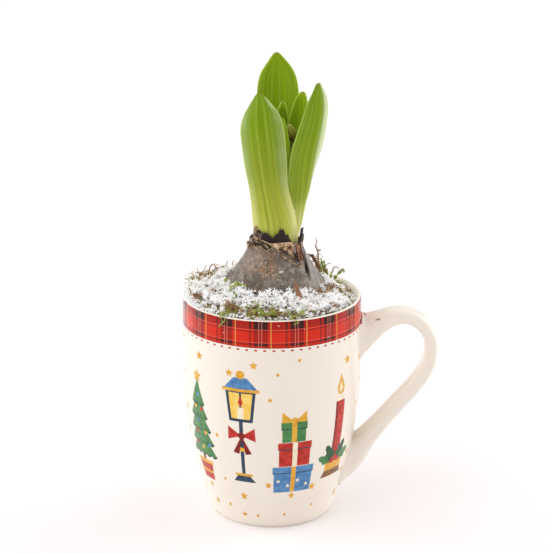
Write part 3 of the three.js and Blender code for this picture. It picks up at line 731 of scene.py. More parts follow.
def handle_skin():
    """The strap, with rounded sides and roots that flare into the wall."""
    steps, sides = 110, 40
    points = []
    for i in range(steps + 1):
        t = i / steps
        x, z, thick, wide = along(HANDLE, t)
        ahead = Vector(along(HANDLE, t + 0.004)[:2]) - Vector(along(HANDLE, t - 0.004)[:2])
        ahead.normalize()
        power = lerp(0.88, 0.62, step(t, 0, 0.1) * (1 - step(t, 0.75, 0.95)))
        for angle in angles(sides):
            across = copysign(abs(cos(angle)) ** power, cos(angle)) * thick
            y = -copysign(abs(sin(angle)) ** power, sin(angle)) * wide
            point = Vector((x - ahead.y * across, y, z + ahead.x * across))
            points.append(seated_in_wall(point, Vector((x, 0, z))))
    return points, rod_faces(steps + 1, sides)


def seated_in_wall(point, middle):
    """Flare a handle point near the wall, and keep it from going through the wall."""
    wall = radius_at(MUG_OUTSIDE, point.z)
    away = hypot(point.x, point.y) - wall
    flare = ROOT_FLARE * clamp(1 - away / FLARE_REACH) ** 2
    out = point - middle
    point = point + out.normalized() * flare
    reach = hypot(point.x, point.y)
    if reach < wall - ROOT_DEPTH:
        point.x *= (wall - ROOT_DEPTH) / reach
        point.y *= (wall - ROOT_DEPTH) / reach
    return point


# Printed motifs, drawn in millimetres as (outline, colour), each set on its own spot of the wall
# Each ink's plain tone and its darker one
INKS = {
    "red": ("c8362a", "a82318"), "dark_red": ("8e1d16", "741410"), "green": ("4f8a4e", "39723f"),
    "dark_green": ("2c5a38", "1f4a2e"), "blue": ("5d8fc0", "3f73a8"), "navy": ("34485f", "27394e"),
    "gold": ("e8b040", "d69a2c"), "pale": ("f7ecd2", "f0e0bd"), "brown": ("8a5a34", "6f4526"),
    "glow": ("f8d672", "f2c24e"),
}


def circle(x, z, radius, count):
    return [(x + radius * cos(angle), z + radius * sin(angle)) for angle in angles(count)]


def star(x, z, radius):
    outline = []
    for k in range(10):
        reach = radius if k % 2 == 0 else radius * 0.46
        angle = pi / 2 + k * pi / 5
        outline.append((x + reach * cos(angle), z + reach * sin(angle)))
    return outline


def rectangle(x0, z0, x1, z1):
    return [(x0, z0), (x1, z0), (x1, z1), (x0, z1)]


def trapezium(half, z, other_half, other_z):
    return [(-half, z), (half, z), (other_half, other_z), (-other_half, other_z)]


def scalloped_tier(width, bottom, top, dips):
    """One tier of a fir: straight sides to a point, and a scalloped lower edge."""
    outline = [(0, top)]
    count = dips * 4
    for k in range(count + 1):
        share = k / count
        outline.append((-width / 2 + width * share, bottom - abs(sin(share * dips * pi)) * 1.1))
    return outline


def fir_motif():
    shapes = [
        (rectangle(-1.1, 9, 1.1, 16), "brown"), (trapezium(5.6, 9.6, 4.5, 0), "red"),
        (rectangle(-6.1, 8.4, 6.1, 10.2), "gold"), (trapezium(5, 4.9, 4.85, 3.5), "gold"),
    ]
    for width, bottom, top in ((19, 14, 26), (17, 20, 32), (14.6, 26.5, 38), (11.6, 33, 44), (8.4, 39.5, 50)):
        shapes.append((scalloped_tier(width + 1.2, bottom - 0.8, top, 5), "dark_green"))
        shapes.append((scalloped_tier(width, bottom, top + 0.4, 5), "green"))
    baubles = [
        (-5, 17.6), (0.6, 16.6), (5.6, 18.6), (-3, 24), (3.8, 24.6),
        (-1, 30), (2.4, 36), (-2, 36.5), (0.4, 43),
    ]
    for k, (x, z) in enumerate(baubles):
        shapes.append((circle(x, z, 1.05, 14), ("red", "gold", "blue")[k % 3]))
    return shapes + [(star(0, 51.6, 3.1), "gold")]


def lantern_motif():
    shapes = [
        (rectangle(-0.9, 3, 0.9, 31), "navy"), (rectangle(-1.5, 16, 1.5, 18), "gold"),
        (trapezium(6, 0, 3.2, 3.4), "navy"), (rectangle(-4.6, 3.2, 4.6, 4.5), "gold"),
        (trapezium(5.6, 31, 7.2, 46), "navy"),
        ([(-4.4, 32.4), (-0.5, 32.4), (-0.5, 44.8), (-5.7, 44.8)], "glow"),
        ([(0.5, 32.4), (4.4, 32.4), (5.7, 44.8), (0.5, 44.8)], "glow"),
        (rectangle(-1.5, 32.4, 1.5, 38), "pale"),
        ([(0, 43.6), (-1.2, 40.2), (0, 38.4), (1.2, 40.2)], "red"),
        (trapezium(8.6, 46, 3.2, 52), "blue"), (rectangle(-8.8, 45.4, 8.8, 46.8), "gold"),
        (circle(0, 53.4, 2, 18), "gold"),
    ]
    for side in (-1, 1):
        shapes.append(([(0, 24), (side * 6.4, 28.2), (side * 6.8, 21.6)], "red"))
        shapes.append(([(0, 24), (side * 4.6, 15.2), (side * 1.6, 14.6)], "dark_red"))
    return shapes + [(circle(0, 24, 1.7, 16), "dark_red")]


def parcels_motif():
    shapes = []
    for x0, z0, x1, z1, paper, ribbon in (
        (-10, 0, 10, 14, "blue", "gold"), (-7.4, 14, 8, 26.4, "red", "pale"),
        (-6, 26.4, 5.2, 36.6, "green", "gold"),
    ):
        middle = (x0 + x1) / 2
        shapes += [
            (rectangle(x0, z0, x1, z1 - 0.3), paper),
            (rectangle(x0 - 0.5, z1 - 3.4, x1 + 0.5, z1 - 0.3), paper),
            (rectangle(x0 - 0.5, z1 - 3.9, x1 + 0.5, z1 - 3.4), "navy"),
            (rectangle(middle - 1.2, z0, middle + 1.2, z1 - 0.3), ribbon),
        ]
    for side in (-1, 1):
        shapes.append(([(-0.4, 36.4), (-0.4 + side * 5.6, 41.4), (-0.4 + side * 5.9, 36.2)], "gold"))
    shapes.append((circle(-0.4, 37.2, 1.5, 14), "gold"))
    return shapes + [(star(-7.6 + 5 * k, 6.2 - (k % 2) * 2.6, 1.2), "pale") for k in range(4)]


def candle_motif():
    shapes = [
        (rectangle(-3, 8, 3, 38), "red"), (rectangle(-3, 8, -1.7, 38), "dark_red"),
        ([(-3, 38), (3, 38), (2.2, 40.4), (-2.4, 39.6)], "pale"),
        ([(0, 51), (-2.5, 44.4), (-1.6, 41.6), (0, 40.8), (1.6, 41.6), (2.5, 44.4)], "gold"),
        ([(0, 47.4), (-1.2, 43.8), (0, 41.8), (1.2, 43.8)], "pale"),
    ]
    for lean in (-68, -34, 34, 68):
        shapes.append((holly_leaf(0, 7, lean, 12), "green" if abs(lean) > 50 else "dark_green"))
    shapes += [(rectangle(-6.2, 3.4, 6.2, 7.6), "gold"), (trapezium(8, 0, 6.2, 3.4), "brown")]
    return shapes + [(circle(x, 9.4 - abs(x) * 0.5, 1.4, 14), "red") for x in (-2.2, 0, 2.2)]


def holly_leaf(x, z, lean, length):
    """A leaf with a waved edge, leaning by degrees from upright."""
    left, right = [], []
    for k in range(9):
        share = k / 8
        half = length * 0.2 * sin(pi * share) ** 0.7 * (1.25 if k % 2 else 0.8)
        left.append((-half, length * share))
        right.append((half, length * share))
    angle = radians(lean)
    outline = left + list(reversed(right[1:-1]))
    return [(x + a * cos(angle) + b * sin(angle), z - a * sin(angle) + b * cos(angle)) for a, b in outline]


def on_wall(x, z, turn, foot, depth):
    """A place on the wall, on a net of facets that all the layers of the print share."""
    column, row = floor(x / NET_WIDTH), floor(z / NET_HEIGHT)
    corners = []
    for k in (row, row + 1):
        height = foot + k * NET_HEIGHT
        for i in (column, column + 1):
            angle = turn + i * NET_WIDTH / NET_RADIUS
            corners.append(polar(radius_at(MUG_FINE, height) + depth, angle, height))
    low = corners[0].lerp(corners[1], x / NET_WIDTH - column)
    high = corners[2].lerp(corners[3], x / NET_WIDTH - column)
    return low.lerp(high, z / NET_HEIGHT - row)


def add_decal(mesh, outline, colour, turn, foot, layer):
    """Cut an outline along the net of the wall, and lay it on the glaze."""
    flat = bmesh.new()
    corners = [flat.verts.new((x, z, 0)) for x, z in outline]
    flat.faces.new(corners)
    xs = [x for x, _ in outline]
    zs = [z for _, z in outline]
    cuts = [((x, 0, 0), (1, 0, 0)) for x in spaced(min(xs), max(xs), NET_WIDTH)]
    cuts += [((0, z, 0), (0, 1, 0)) for z in spaced(min(zs), max(zs), NET_HEIGHT)]
    bmesh.ops.triangulate(flat, faces=flat.faces[:])
    for place, normal in cuts:
        everything = flat.verts[:] + flat.edges[:] + flat.faces[:]
        bmesh.ops.bisect_plane(flat, geom=everything, plane_co=place, plane_no=normal)
    bmesh.ops.triangulate(flat, faces=flat.faces[:])
    flat.verts.index_update()
    points = []
    for depth in (PRINT_THICKNESS + LAYER_THICKNESS * layer, -PRINT_SUNK):
        points += [on_wall(vertex.co.x, vertex.co.y, turn, foot, depth) for vertex in flat.verts]
    count = len(flat.verts)
    faces = []
    for face in flat.faces:
        a, b, c = (v.index for v in face.verts)
        if face.normal.z < 0:
            a, c = c, a
        faces.append((a, b, c))
        faces.append((a + count, c + count, b + count))
    for edge in flat.edges:
        if len(edge.link_faces) != 1:
            continue
        loop = edge.link_loops[0]
        a, b = loop.vert.index, loop.link_loop_next.vert.index
        if edge.link_faces[0].normal.z < 0:
            a, b = b, a
        faces.append((b, a, a + count, b + count))
    flat.free()
    mesh.add(points, faces, list(INKS).index(colour))


def spaced(low, high, pitch):
    """The whole multiples of a pitch between two values."""
    return [k * pitch for k in range(floor(low / pitch) + 1, ceil(high / pitch))]


# Each motif's spot: degrees round the wall from the front, height of its foot, and its drawing
MOTIFS = [
    (-55, 21, fir_motif), (-20, 25, lantern_motif), (15, 20, parcels_motif), (49, 24, candle_motif),
    (129, 21, fir_motif), (161, 25, lantern_motif), (194, 20, parcels_motif), (228, 24, candle_motif),
    (267, 21, fir_motif),
]
STAR_TRIES = 400
STAR_GAP = 8.5


def print_piece():
    mesh = Mesh()
    for degrees, foot, drawing in MOTIFS:
        for layer, (outline, colour) in enumerate(drawing()):
            add_decal(mesh, outline, colour, FRONT + radians(degrees), foot, layer)
    for degrees, height, size in star_places():
        shape = star(0, 0, size) if size > 1 else circle(0, 0, 0.75, 12)
        add_decal(mesh, shape, "gold", FRONT + radians(degrees), height, 0)
    inks = [print_material("print_" + name, *codes) for name, codes in INKS.items()]
    add_piece("mug_print", mesh, inks, "porcelain", smooth=False)


def star_places():
    """Seeded places for stars and dots, clear of the motifs and of each other."""
    chance = random.Random(7)
    places = []
    for _ in range(STAR_TRIES):
        degrees = chance.uniform(-82, 262)
        height = chance.uniform(6, 87)
        size = chance.choice((1.0, 1.3, 2.0, 2.4))
        near = min(abs(degrees - at) for at, _, _ in MOTIFS)
        on_motif = near < 15.5 and 18 < height < 78
        if on_motif or any(hypot((degrees - d) * 0.72, height - h) < STAR_GAP for d, h, _ in places):
            continue
        places.append((degrees, height, size))
    return places


# Bulb
def slit_angle(height):
    share = clamp((height - SLIT_FOOT) / (BULB_TOP - SLIT_FOOT)) ** 1.5
    return radians(lerp(SLIT_LEFT, SLIT_RIGHT, share))


def bulb_shape(angle, height, radius):
    """Ribs, papery ridges, and a slit on the right with a flap along its edge. The socket stays plain."""
    if radius <= NECK_RADIUS + 0.4:
        return 0.0
    ribs = sin(9 * angle + 0.7) * 0.22 + sin(4 * angle + 2.1) * 0.3 - 0.1
    grow = step(height, BULB_BASE, BULB_BASE + 8) * radius / 24
    crumple = rough(angle * 7, height * 0.09) * 0.45 + rough(angle * 22, height * 0.25) * 0.2
    beside = ((angle - slit_angle(height) + pi) % TAU - pi) * radius
    slit = step(height, SLIT_FOOT - 1, SLIT_FOOT + 3)
    flap = 0.9 * exp(-((beside - 1.3) / 1.6) ** 2) * slit
    cut = -1.4 * exp(-((beside + 0.1) / 0.5) ** 2) * slit
    return (ribs + crumple) * grow + flap + cut


def bulb_piece():
    outside = [(0, BULB_BASE)] + smoothed(BULB_OUTSIDE, 110)
    socket = [(NECK_RADIUS + 0.3, BULB_TOP + 0.1), (NECK_RADIUS, BULB_TOP - 0.4), (NECK_RADIUS, SOCKET_FLOOR)]
    profile = outside + socket + [(0, SOCKET_FLOOR)]
    mesh = Mesh()
    mesh.add(*turned(profile, BULB_SIDES, PLANT_X, bulb_shape))
    add_piece("bulb_skin", mesh, [bulb_material()], "tunic", "bulb")


# Dry skin round the neck
def near_to(angle, degrees, reach):
    """1 towards a direction, falling to 0 where the cosine of the angle off it is reach."""
    return step(cos(angle - radians(degrees)), reach, 1)


# The torn edge of the ring of dry skin: degrees and height
RING_EDGE = [
    (-180, 130), (-160, 131), (-140, 133.2), (-125, 135.2), (-117, 135.5), (-110, 135.3), (-103, 134.6),
    (-95, 133.3), (-87, 135.1), (-79, 137.2), (-73, 136.9), (-68, 134.3), (-63, 134.9), (-58, 132.6),
    (-52, 129.4), (-42, 128.8), (-30, 129), (-20, 129), (-6, 128.4), (15, 129), (60, 129.6),
    (120, 130), (180, 130),
]
RING_FOOT = 122.6
FIBRE_RADIUS = 13.2


def ring_edge(angle):
    """The height of the torn ring's edge, and its radius there."""
    degrees = (in_degrees(angle) + 180) % 360 - 180
    k = next(i for i, (at, _) in enumerate(RING_EDGE[1:]) if degrees <= at)
    (a, low), (b, high) = RING_EDGE[k], RING_EDGE[k + 1]
    tear = rough(angle * 19, 7.7) * 0.6 + rough(angle * 45, 1.7) * 0.6
    top = lerp(low, high, step(degrees, a, b)) + tear
    return top, 11.8 - 0.3 * near_to(angle, 190, 0.6)


def torn_ring(mesh):
    """A ragged ring of skin that grows out of the tunic round the foot of the leaves."""
    columns, rows = 260, 18
    points = []
    shares = [i / rows for i in range(rows + 1)]
    for share, inwards in [(s, 0) for s in shares] + [(s, 1) for s in reversed(shares)]:
        for angle in angles(columns):
            top, lean = ring_edge(angle)
            height = lerp(RING_FOOT, top, share)
            wave = rough(angle * 9, height * 0.5) * 0.35 + rough(angle * 30, height) * 0.18
            on_bulb = radius_at(BULB_OUTSIDE, height) + bulb_shape(angle, height, 12.5)
            on_bulb += lerp(-0.2, 0.12, step(height, RING_FOOT, RING_FOOT + 2))
            radius = lerp(on_bulb, lean + 0.35 + wave, step(height, 124.4, 128))
            points.append(polar(radius - inwards * lerp(1.1, 0.3, share), angle, height, PLANT_X))
    mesh.add(points, grid_faces(2 * (rows + 1), columns, wrap=True, loop=True), RING)


def curled_strip(mesh, chance, degrees, foot, height, lean, half, curl, material, start):
    """A dry strip that tapers, twists and curls outwards."""
    rows, columns = 14, 4
    angle = radians(degrees)
    twist = chance.uniform(-0.9, 0.9)
    points = []
    for offset in (0.16, -0.16):
        for i in range(rows + 1):
            share = i / rows
            out = start + lean * share + curl * sin(share * 2.6) * share
            z = foot + height * sin(share * 1.7) / sin(1.7) - 0.4 * curl * share ** 3
            for j in range(columns + 1):
                across = (j / columns - 0.5) * 2 * half * (1 - 0.8 * share ** 1.4)
                swing = across * sin(twist * share * 2)
                turn = angle + across * cos(twist * share * 2) / 12
                wave = rough(angle * 5 + share * 3, across * 0.8) * 0.5 * share
                points.append(polar(out + offset + swing + wave, turn, z, PLANT_X))
    mesh.add(points, sheet_faces(rows, columns), material)


# Dry strips: degrees, foot, height, lean, half width, curl, material, first radius
RING, TAN, RUSSET, BLACK, MAUVE = range(5)
STRIPS = [
    (-37, 127.4, 3.0, 0.2, 1.0, 0.0, BLACK, 12.6), (-27, 127, 9.6, 1.4, 1.4, 0.0, BLACK, 12.4),
    (-21, 126.5, 6.6, 0.9, 1.0, 0.2, BLACK, 12.2), (-30, 128.6, 5.6, 1.2, 0.8, 0.3, BLACK, 12.8),
    (-10, 126, 3.0, 0.5, 1.3, 0.2, RUSSET, 11.9), (8, 126, 3.0, 0.6, 1.3, 0.3, TAN, 11.9),
    (20, 126, 3.5, 0.8, 1.4, 0.4, TAN, 11.9), (60, 126, 5.0, 1.5, 1.8, 0.5, TAN, 11.9),
    (95, 126, 4.4, 1.4, 1.8, 0.8, BLACK, 11.9), (122, 126, 6.0, 1.6, 1.8, 1.0, TAN, 11.9),
    (-42, 129.2, -9.2, 2.8, 1.25, 0.0, RUSSET, 13.1), (-50, 128.4, -5.6, 1.7, 0.9, 0.0, BLACK, 13.0),
    (-26, 129.8, -9.4, 2.6, 1.3, 0.0, MAUVE, 12.9), (-35, 128.4, -6.4, 2.0, 0.5, 0.0, RUSSET, 13.0),
    (-95, 131.0, -1.4, 0.4, 2.0, 0.1, TAN, 12.7), (-84, 131.1, -2.6, 0.5, 2.6, 0.1, TAN, 12.7),
    (-74, 131.2, -3.4, 0.7, 2.8, 0.1, TAN, 12.7), (-64, 131.0, -5.0, 1.1, 2.2, 0.2, TAN, 12.7),
    (-55, 130.0, -4.0, 0.9, 2.0, 0.2, MAUVE, 12.8), (-58, 128.4, -3.6, 1.3, 1.0, 0.3, TAN, 12.8),
    (-67, 128.2, -2.8, 0.9, 0.8, 0.4, BLACK, 12.9), (-106, 130.6, -2.4, 0.5, 2.2, 0.2, BLACK, 12.6),
    (-116, 130.6, -2.0, 0.5, 2.0, 0.2, RING, 12.6), (-141, 132.0, 5.6, -0.9, 1.1, 0.4, MAUVE, 11.8),
    (-136, 131.4, 5.4, -0.8, 1.0, 0.4, TAN, 12.0), (-131, 131.0, 5.0, -0.8, 1.4, 0.3, BLACK, 11.9),
    (-170, 127.0, 1.2, 0.2, 0.8, 0.3, BLACK, 12.2), (-161, 126.8, 1.8, 0.1, 0.7, 0.4, TAN, 12.2),
]
LOOSE_STRIPS = 110
BACK_STRIPS = 18
SHORT_FIBRES = 16
# Fibres that hang in front: degrees, height, and how far each falls
HANGING_FIBRES = [(-66, 127.4, 3.4), (-60, 127.0, 3.6), (-54, 127.2, 3.0), (-72, 127, 1.6)]
# The long fibres: thickness, and places in degrees and height
LONG_FIBRES = [
    (0.3, [(-118, 132.2), (-97, 130.4), (-84, 127.6), (-72, 124.4), (-58, 121.8), (-46, 120.2)]),
    (0.2, [(-92, 129.4), (-78, 128.6), (-62, 126.6), (-50, 124)]),
]


def neck_piece():
    chance = random.Random(11)
    between = chance.uniform
    mesh = Mesh()
    torn_ring(mesh)
    for strip in STRIPS:
        curled_strip(mesh, chance, *strip)
    for _ in range(LOOSE_STRIPS):
        degrees = -between(106, 184)
        near_peak = near_to(radians(degrees), -134, 0.9)
        low = step(-degrees, 146, 156)
        foot = between(127.8, lerp(130.6, 128.4, low) + 3 * near_peak)
        height = between(-1.4, lerp(1.6, 0.4, low)) + near_peak
        curled_strip(
            mesh, chance, degrees, foot, height, between(-0.9, 0.2), between(0.25, 0.75),
            between(0, 0.8), chance.choice((BLACK, BLACK, BLACK, TAN, TAN, MAUVE)),
            between(12.3, 12.8) - 0.3 * (foot - 128),
        )
    for _ in range(BACK_STRIPS):
        degrees = between(140, 190)
        curled_strip(
            mesh, chance, degrees, between(125.8, 127.4), between(0.6, 1.8),
            between(-0.2, 0.3), between(0.4, 1.0), between(0, 0.5),
            chance.choice((BLACK, TAN)), between(11.9, 12.3),
        )
    for _ in range(SHORT_FIBRES):
        degrees = between(185, 300)
        height = between(127.4, 130)
        add_fibre(mesh, [(degrees + 5 * k, height + 0.7 * sin(k * 1.7 + degrees)) for k in range(5)])
    for degrees, height, fall in HANGING_FIBRES:
        add_fibre(mesh, [(degrees + 2.6 * k, height - fall * (k / 4) ** 1.4) for k in range(5)], 0.22)
    for thickness, places in LONG_FIBRES:
        add_fibre(mesh, places, thickness)
    skins = [
        neck_ring_material(),
        uneven_material("skin_tan", ("20140c", "6e4d30", "b4906a", "d8bc98", "f0dcc0"), 560, 0.8),
        uneven_material("skin_russet", ("34180b", "6e3a1c", "a86a3c"), 420, 0.6),
        uneven_material("skin_black", ("120d0c", "241a16", "4a3a30"), 300, 0.7),
        uneven_material("skin_mauve", ("6c554e", "8f7a72", "b5a298"), 300, 0.7),
    ]
    add_piece("neck_skin", mesh, skins, "dry_scale", "neck_scales")


def add_fibre(mesh, places, thickness=0.15):
    """A dry thread that lies on the bulb and its neck, through places in degrees and height."""
    path = []
    for k in range(4 * len(places)):
        degrees, height = along(places, k / (4 * len(places) - 1))
        radius = radius_at(BULB_OUTSIDE, height) + 0.75 + 0.35 * rough(degrees * 0.2, height)
        path.append(polar(max(radius, FIBRE_RADIUS), radians(degrees), height, PLANT_X))
    mesh.add(*tube(path, [thickness] * len(path), 5), TAN)


# Leaves
def leaf_frame(stations, t):
    """The midrib's place, the direction of its back and of its side, and the size there."""
    spine = [s[:3] for s in stations]
    x, y, z, face, half, cup = along(stations, t)
    ahead = Vector(along(spine, t + 0.002)) - Vector(along(spine, t - 0.002))
    ahead.normalize()
    facing = Vector((cos(radians(face)), sin(radians(face)), 0))
    back = (facing - ahead * facing.dot(ahead)).normalized()
    return Vector((x, y, z)), back, ahead.cross(back), half, radians(cup)


def leaf_piece(name, material):
    stations = LEAVES[name]
    keel = {"leaf_right": 0.6, "leaf_front": 0.25}.get(name, 0.2)
    taper = OUTER_LEAF_TAPER if name in OUTER_LEAVES else INNER_LEAF_TAPER
    seed = len(name) * 1.7
    outer, inner, uvs = [], [], []
    for i in range(LEAF_ROWS + 1):
        t = 1 - (1 - i / LEAF_ROWS) ** 1.3
        middle, back, side, half, span = leaf_frame(stations, t)
        closing = clamp((t - LEAF_CLOSES_FROM) / (1 - LEAF_CLOSES_FROM))
        share = LEAF_TIP_SHARE + (1 - LEAF_TIP_SHARE) * (1 - closing ** 2) ** taper
        radius = half * share / span
        for j in range(LEAF_COLUMNS + 1):
            across = j / LEAF_COLUMNS * 2 - 1
            if name == "leaf_right" and across < 0:
                wider = 0.26 * step(t, 0.1, 0.26) * (1 - step(t, 0.46, 0.62))
                across *= 1 + wider - 0.07 * step(t, 0.58, 0.68)
            out = back * cos(across * span) + side * sin(across * span)
            ridge = keel * exp(-(across / 0.09) ** 2) * share
            pleat = 0.12 * sin(across * 17 + seed) * share * (1 - abs(across))
            edge = 0.35 * rough(t * 7, across * 0.6, seed) * abs(across) ** 3 * share
            point = middle - back * radius + out * (radius + ridge * 0.6 + pleat + edge)
            fleshy = lerp(LEAF_ROOT_THICKNESS, LEAF_MARGIN_THICKNESS, abs(across) ** 1.5)
            thickness = min(fleshy, max(LEAF_MARGIN_THICKNESS, radius * 0.6))
            thickness *= 1 - 0.45 * step(abs(across), 0.93, 1)
            outer.append(point)
            inner.append(point - out * thickness)
            uvs.append((j / LEAF_COLUMNS, t))
    mesh = Mesh()
    mesh.add(outer + inner, sheet_faces(LEAF_ROWS, LEAF_COLUMNS), 0, uvs + uvs)
    slot = "outer_leaf" if name in OUTER_LEAVES else "inner_leaf"
    add_piece(name.replace("leaf", "blade"), mesh, [material], slot, name)


# Flower spike
# The buds that show between the leaves: root, direction, radius, length
SHOWN_BUDS = [
    ((10.2, -1.2, 174.6), (-0.34, -0.05, 1), 2.1, 8.6), ((8.6, -3.0, 166), (0.1, -0.06, 1), 1.7, 8.6),
    ((7.0, -1.2, 160), (0.02, -0.1, 1), 1.8, 8.0),
]


def spike_line(height):
    rise = (height - SOCKET_FLOOR) / (SPIKE_TOP - SOCKET_FLOOR)
    return Vector((lerp(PLANT_X + 0.6, 8.6, rise), 0.6 * rise, height))


def spike_piece():
    mesh = Mesh()
    mesh.add(*tube([spike_line(height) for height, _ in STALK], [radius for _, radius in STALK], 16))
    for i in range(FLORETS):
        up = i / (FLORETS - 1)
        turn = i * GOLDEN_ANGLE
        rise = radians(lerp(40, 84, up ** 1.5))
        away = Vector((cos(turn) * cos(rise), sin(turn) * cos(rise), sin(rise)))
        root = spike_line(lerp(149, SPIKE_TOP - 6, up)) + polar(lerp(1.2, 0.3, up), turn, 0)
        add_floret(mesh, root, away, lerp(1.5, 1.15, up), lerp(5, 5.6, up))
    for root, away, radius, length in SHOWN_BUDS:
        add_floret(mesh, Vector(root), Vector(away).normalized(), radius, length)
    add_piece("floret_head", mesh, [floret_material()], "floret", "flower_spike")


def add_floret(mesh, root, away, radius, length):
    """A closed bud with three ribs, drawn in below its tip."""
    sides, rows = 18, 12
    turn = Vector((0, 0, 1)).rotation_difference(away)
    outline = [(0, 0), (0.7, 0.18), (1.0, 0.5), (0.6, 0.84), (0.12, 1.0)]
    points, uvs = [], []
    for i in range(rows + 1):
        share, height = along(outline, i / rows, mirrored=False)
        for j in range(sides):
            angle = j / sides * TAU
            ribbed = max(share, 0.02) * radius * (1 + 0.1 * cos(3 * angle))
            local = Vector((cos(angle) * ribbed, sin(angle) * ribbed, height * length))
            points.append(root + turn @ local)
            uvs.append((j / sides, i / rows))
    mesh.add(points, rod_faces(rows + 1, sides), 0, uvs)


# Bedding
def bed_top(angle, radius):
    """The bedding's height: flat round the bulb, and sloping to the wall, slumped at one side."""
    out = clamp((radius - BED_INNER) / (WALL_RADIUS - BED_INNER))
    slump = BED_SLUMP * step(cos(angle - BED_SLUMP_TOWARDS), 0.1, 0.95) * out
    rise = BED_RISE * step(cos(angle - BED_RISE_TOWARDS), 0, 0.9) * out
    bumps = sin(5 * angle + radius * 0.31) * 0.5 + sin(11 * angle - radius * 0.57 + 1.4) * 0.4
    return lerp(BED_AT_BULB, BED_AT_WALL, out) - slump + rise + bumps


def bulb_radius(height):
    return radius_at(BULB_OUTSIDE, height) + 0.5


# Where the snow leaves the moss bare: degrees, radius, reach, and the moss's colour there
GREEN, BROWN = range(2)
BARE_SPOTS = [
    (-100, 35.5, 6, GREEN), (-89, 35, 6, GREEN), (-76, 37, 4, GREEN), (-69, 37, 3.6, GREEN),
    (-117, 34.5, 5.6, BROWN), (-163, 20, 4.6, GREEN), (-143, 20.5, 4, GREEN), (176, 37, 4, GREEN),
    (-149, 29, 2.6, BROWN), (-33, 22.6, 5.6, BROWN), (-15, 25.5, 5, BROWN), (-8, 31, 4.4, BROWN),
    (14, 36.5, 5, BROWN), (-17, 35.6, 4, BROWN), (-53, 34, 3, GREEN), (47, 32, 11, GREEN),
    (30, 35, 7, BROWN), (158, 34, 8, BROWN), (134, 34, 8, BROWN), (105, 33, 6, BROWN),
]
SPOT_MIDDLES = [(polar(radius, radians(degrees), 0), reach) for degrees, radius, reach, _ in BARE_SPOTS]


def bareness(place):
    """How bare of snow a place is, from 0 to 1."""
    x, y, _ = place
    bare = 0.7 * step(rough(x * 0.4, y * 0.4, 9.1), 0.16, 0.45)
    bare = max(bare, 0.9 * step(rough(x * 1.1, y * 1.1, 4.4), 0.2, 0.36))
    for middle, reach in SPOT_MIDDLES:
        away = hypot(x - middle.x, y - middle.y) + 1.6 * rough(x * 0.6, y * 0.6, 5.3)
        bare = max(bare, 1 - step(away, reach * 0.4, reach))
    return bare


def pad_height(place):
    """The matted moss: lumpy, and a little higher against the wall in front and at the left."""
    x, y, _ = place
    angle, radius = atan2(y, x), hypot(x, y)
    lumps = rough(x * 0.5, y * 0.5) * 0.7 + rough(x * 1.6, y * 1.6) * 0.4
    lifted = 1.5 * step(radius, 33, 37.5) * near_to(angle, -100, -0.6)
    heaped = 1.4 * step(radius, 29, 36) * near_to(angle, 195, 0.2)
    return bed_top(angle, radius) - 0.3 + lumps + lifted + heaped


def bank_height(place):
    """The packed snow: heaped on the moss, and sunk under it where the moss is bare."""
    x, y, _ = place
    lumps = rough(x * 0.9, y * 0.9, 3.3) * 0.7 + abs(rough(x * 2.4, y * 2.4, 8.8)) * 0.8
    depth = lerp(SNOW_THICKNESS - 0.3 + lumps, -1.4, step(bareness(place), 0.25, 0.7))
    return pad_height(place) + depth


def ground_height(place):
    """The top of the snow, or of the moss where it stands above the snow."""
    return max(bank_height(place), pad_height(place))


def bed_layer(height_at, floor_at, rings, sides):
    """Points and faces of a closed layer from the bulb to the wall."""
    points = []
    rows = [(i / rings, height_at) for i in range(rings + 1)] + [(1, floor_at), (0, floor_at)]
    for share, level in rows:
        for angle in angles(sides):
            radius = lerp(bulb_radius(BED_AT_BULB - 1), WALL_RADIUS, share)
            place = polar(radius, angle, 0, PLANT_X * (1 - share))
            place.z = level(place)
            points.append(place)
    return points, grid_faces(len(rows), sides, wrap=True, loop=True)


def cushion_piece():
    mesh = Mesh()
    mesh.add(*bed_layer(pad_height, lambda place: MOSS_FLOOR, 44, 200))
    material = uneven_material("moss_mat", ("33271a", "66522f", "837c38", "a8995c"), 260, 0.95, 0.0012)
    add_piece("moss_cushion", mesh, [material], "moss", "moss")


def bank_piece():
    mesh = Mesh()
    mesh.add(*bed_layer(bank_height, lambda place: pad_height(place) - 2, 56, 280))
    add_piece("snow_bank", mesh, [snow_bank_material()], "snow")


def bed_spot(chance, outer=37.6):
    """A random place between the bulb and the wall."""
    while True:
        place = polar(sqrt(chance.uniform(BED_INNER ** 2, outer ** 2)), chance.uniform(0, TAU), 0)
        if hypot(place.x - PLANT_X, place.y) > bulb_radius(BED_AT_BULB) + 0.4:
            return place


def random_direction(chance, upward=0.0):
    z = chance.uniform(-1 + upward, 1)
    angle = chance.uniform(0, TAU)
    flat = sqrt(max(0.0, 1 - z * z))
    return Vector((flat * cos(angle), flat * sin(angle), z))


def add_flake(mesh, chance, place, size):
    """A crisp flake: three crossed needles, or one small plate."""
    if chance.random() < 0.75:
        for _ in range(3):
            lean = random_direction(chance, 0.3)
            centre = place + lean * size * 0.2
            mesh.add(*shard(centre, lean, size, 0.16 + size * 0.17, 0.12 + size * 0.1))
    else:
        mesh.add(*shard(place, random_direction(chance), size * 0.7, size * 0.5, 0.25))


# How many flakes are tried on the bed, at its right, on the heap at the left, at the lip and on the bulb
BED_FLAKES, RIGHT_FLAKES, HEAPED_FLAKES, LIP_FLAKES, BULB_FLAKES = 4600, 520, 320, 1200, 30
# Flakes stuck to the mug's wall: degrees and height
WALL_FLAKES = [(-86, 102), (-53, 94.1), (-121, 97), (-70, 99.5), (-35, 100), (-150, 96)]
WALL_FLAKE_RADIUS = 41.3
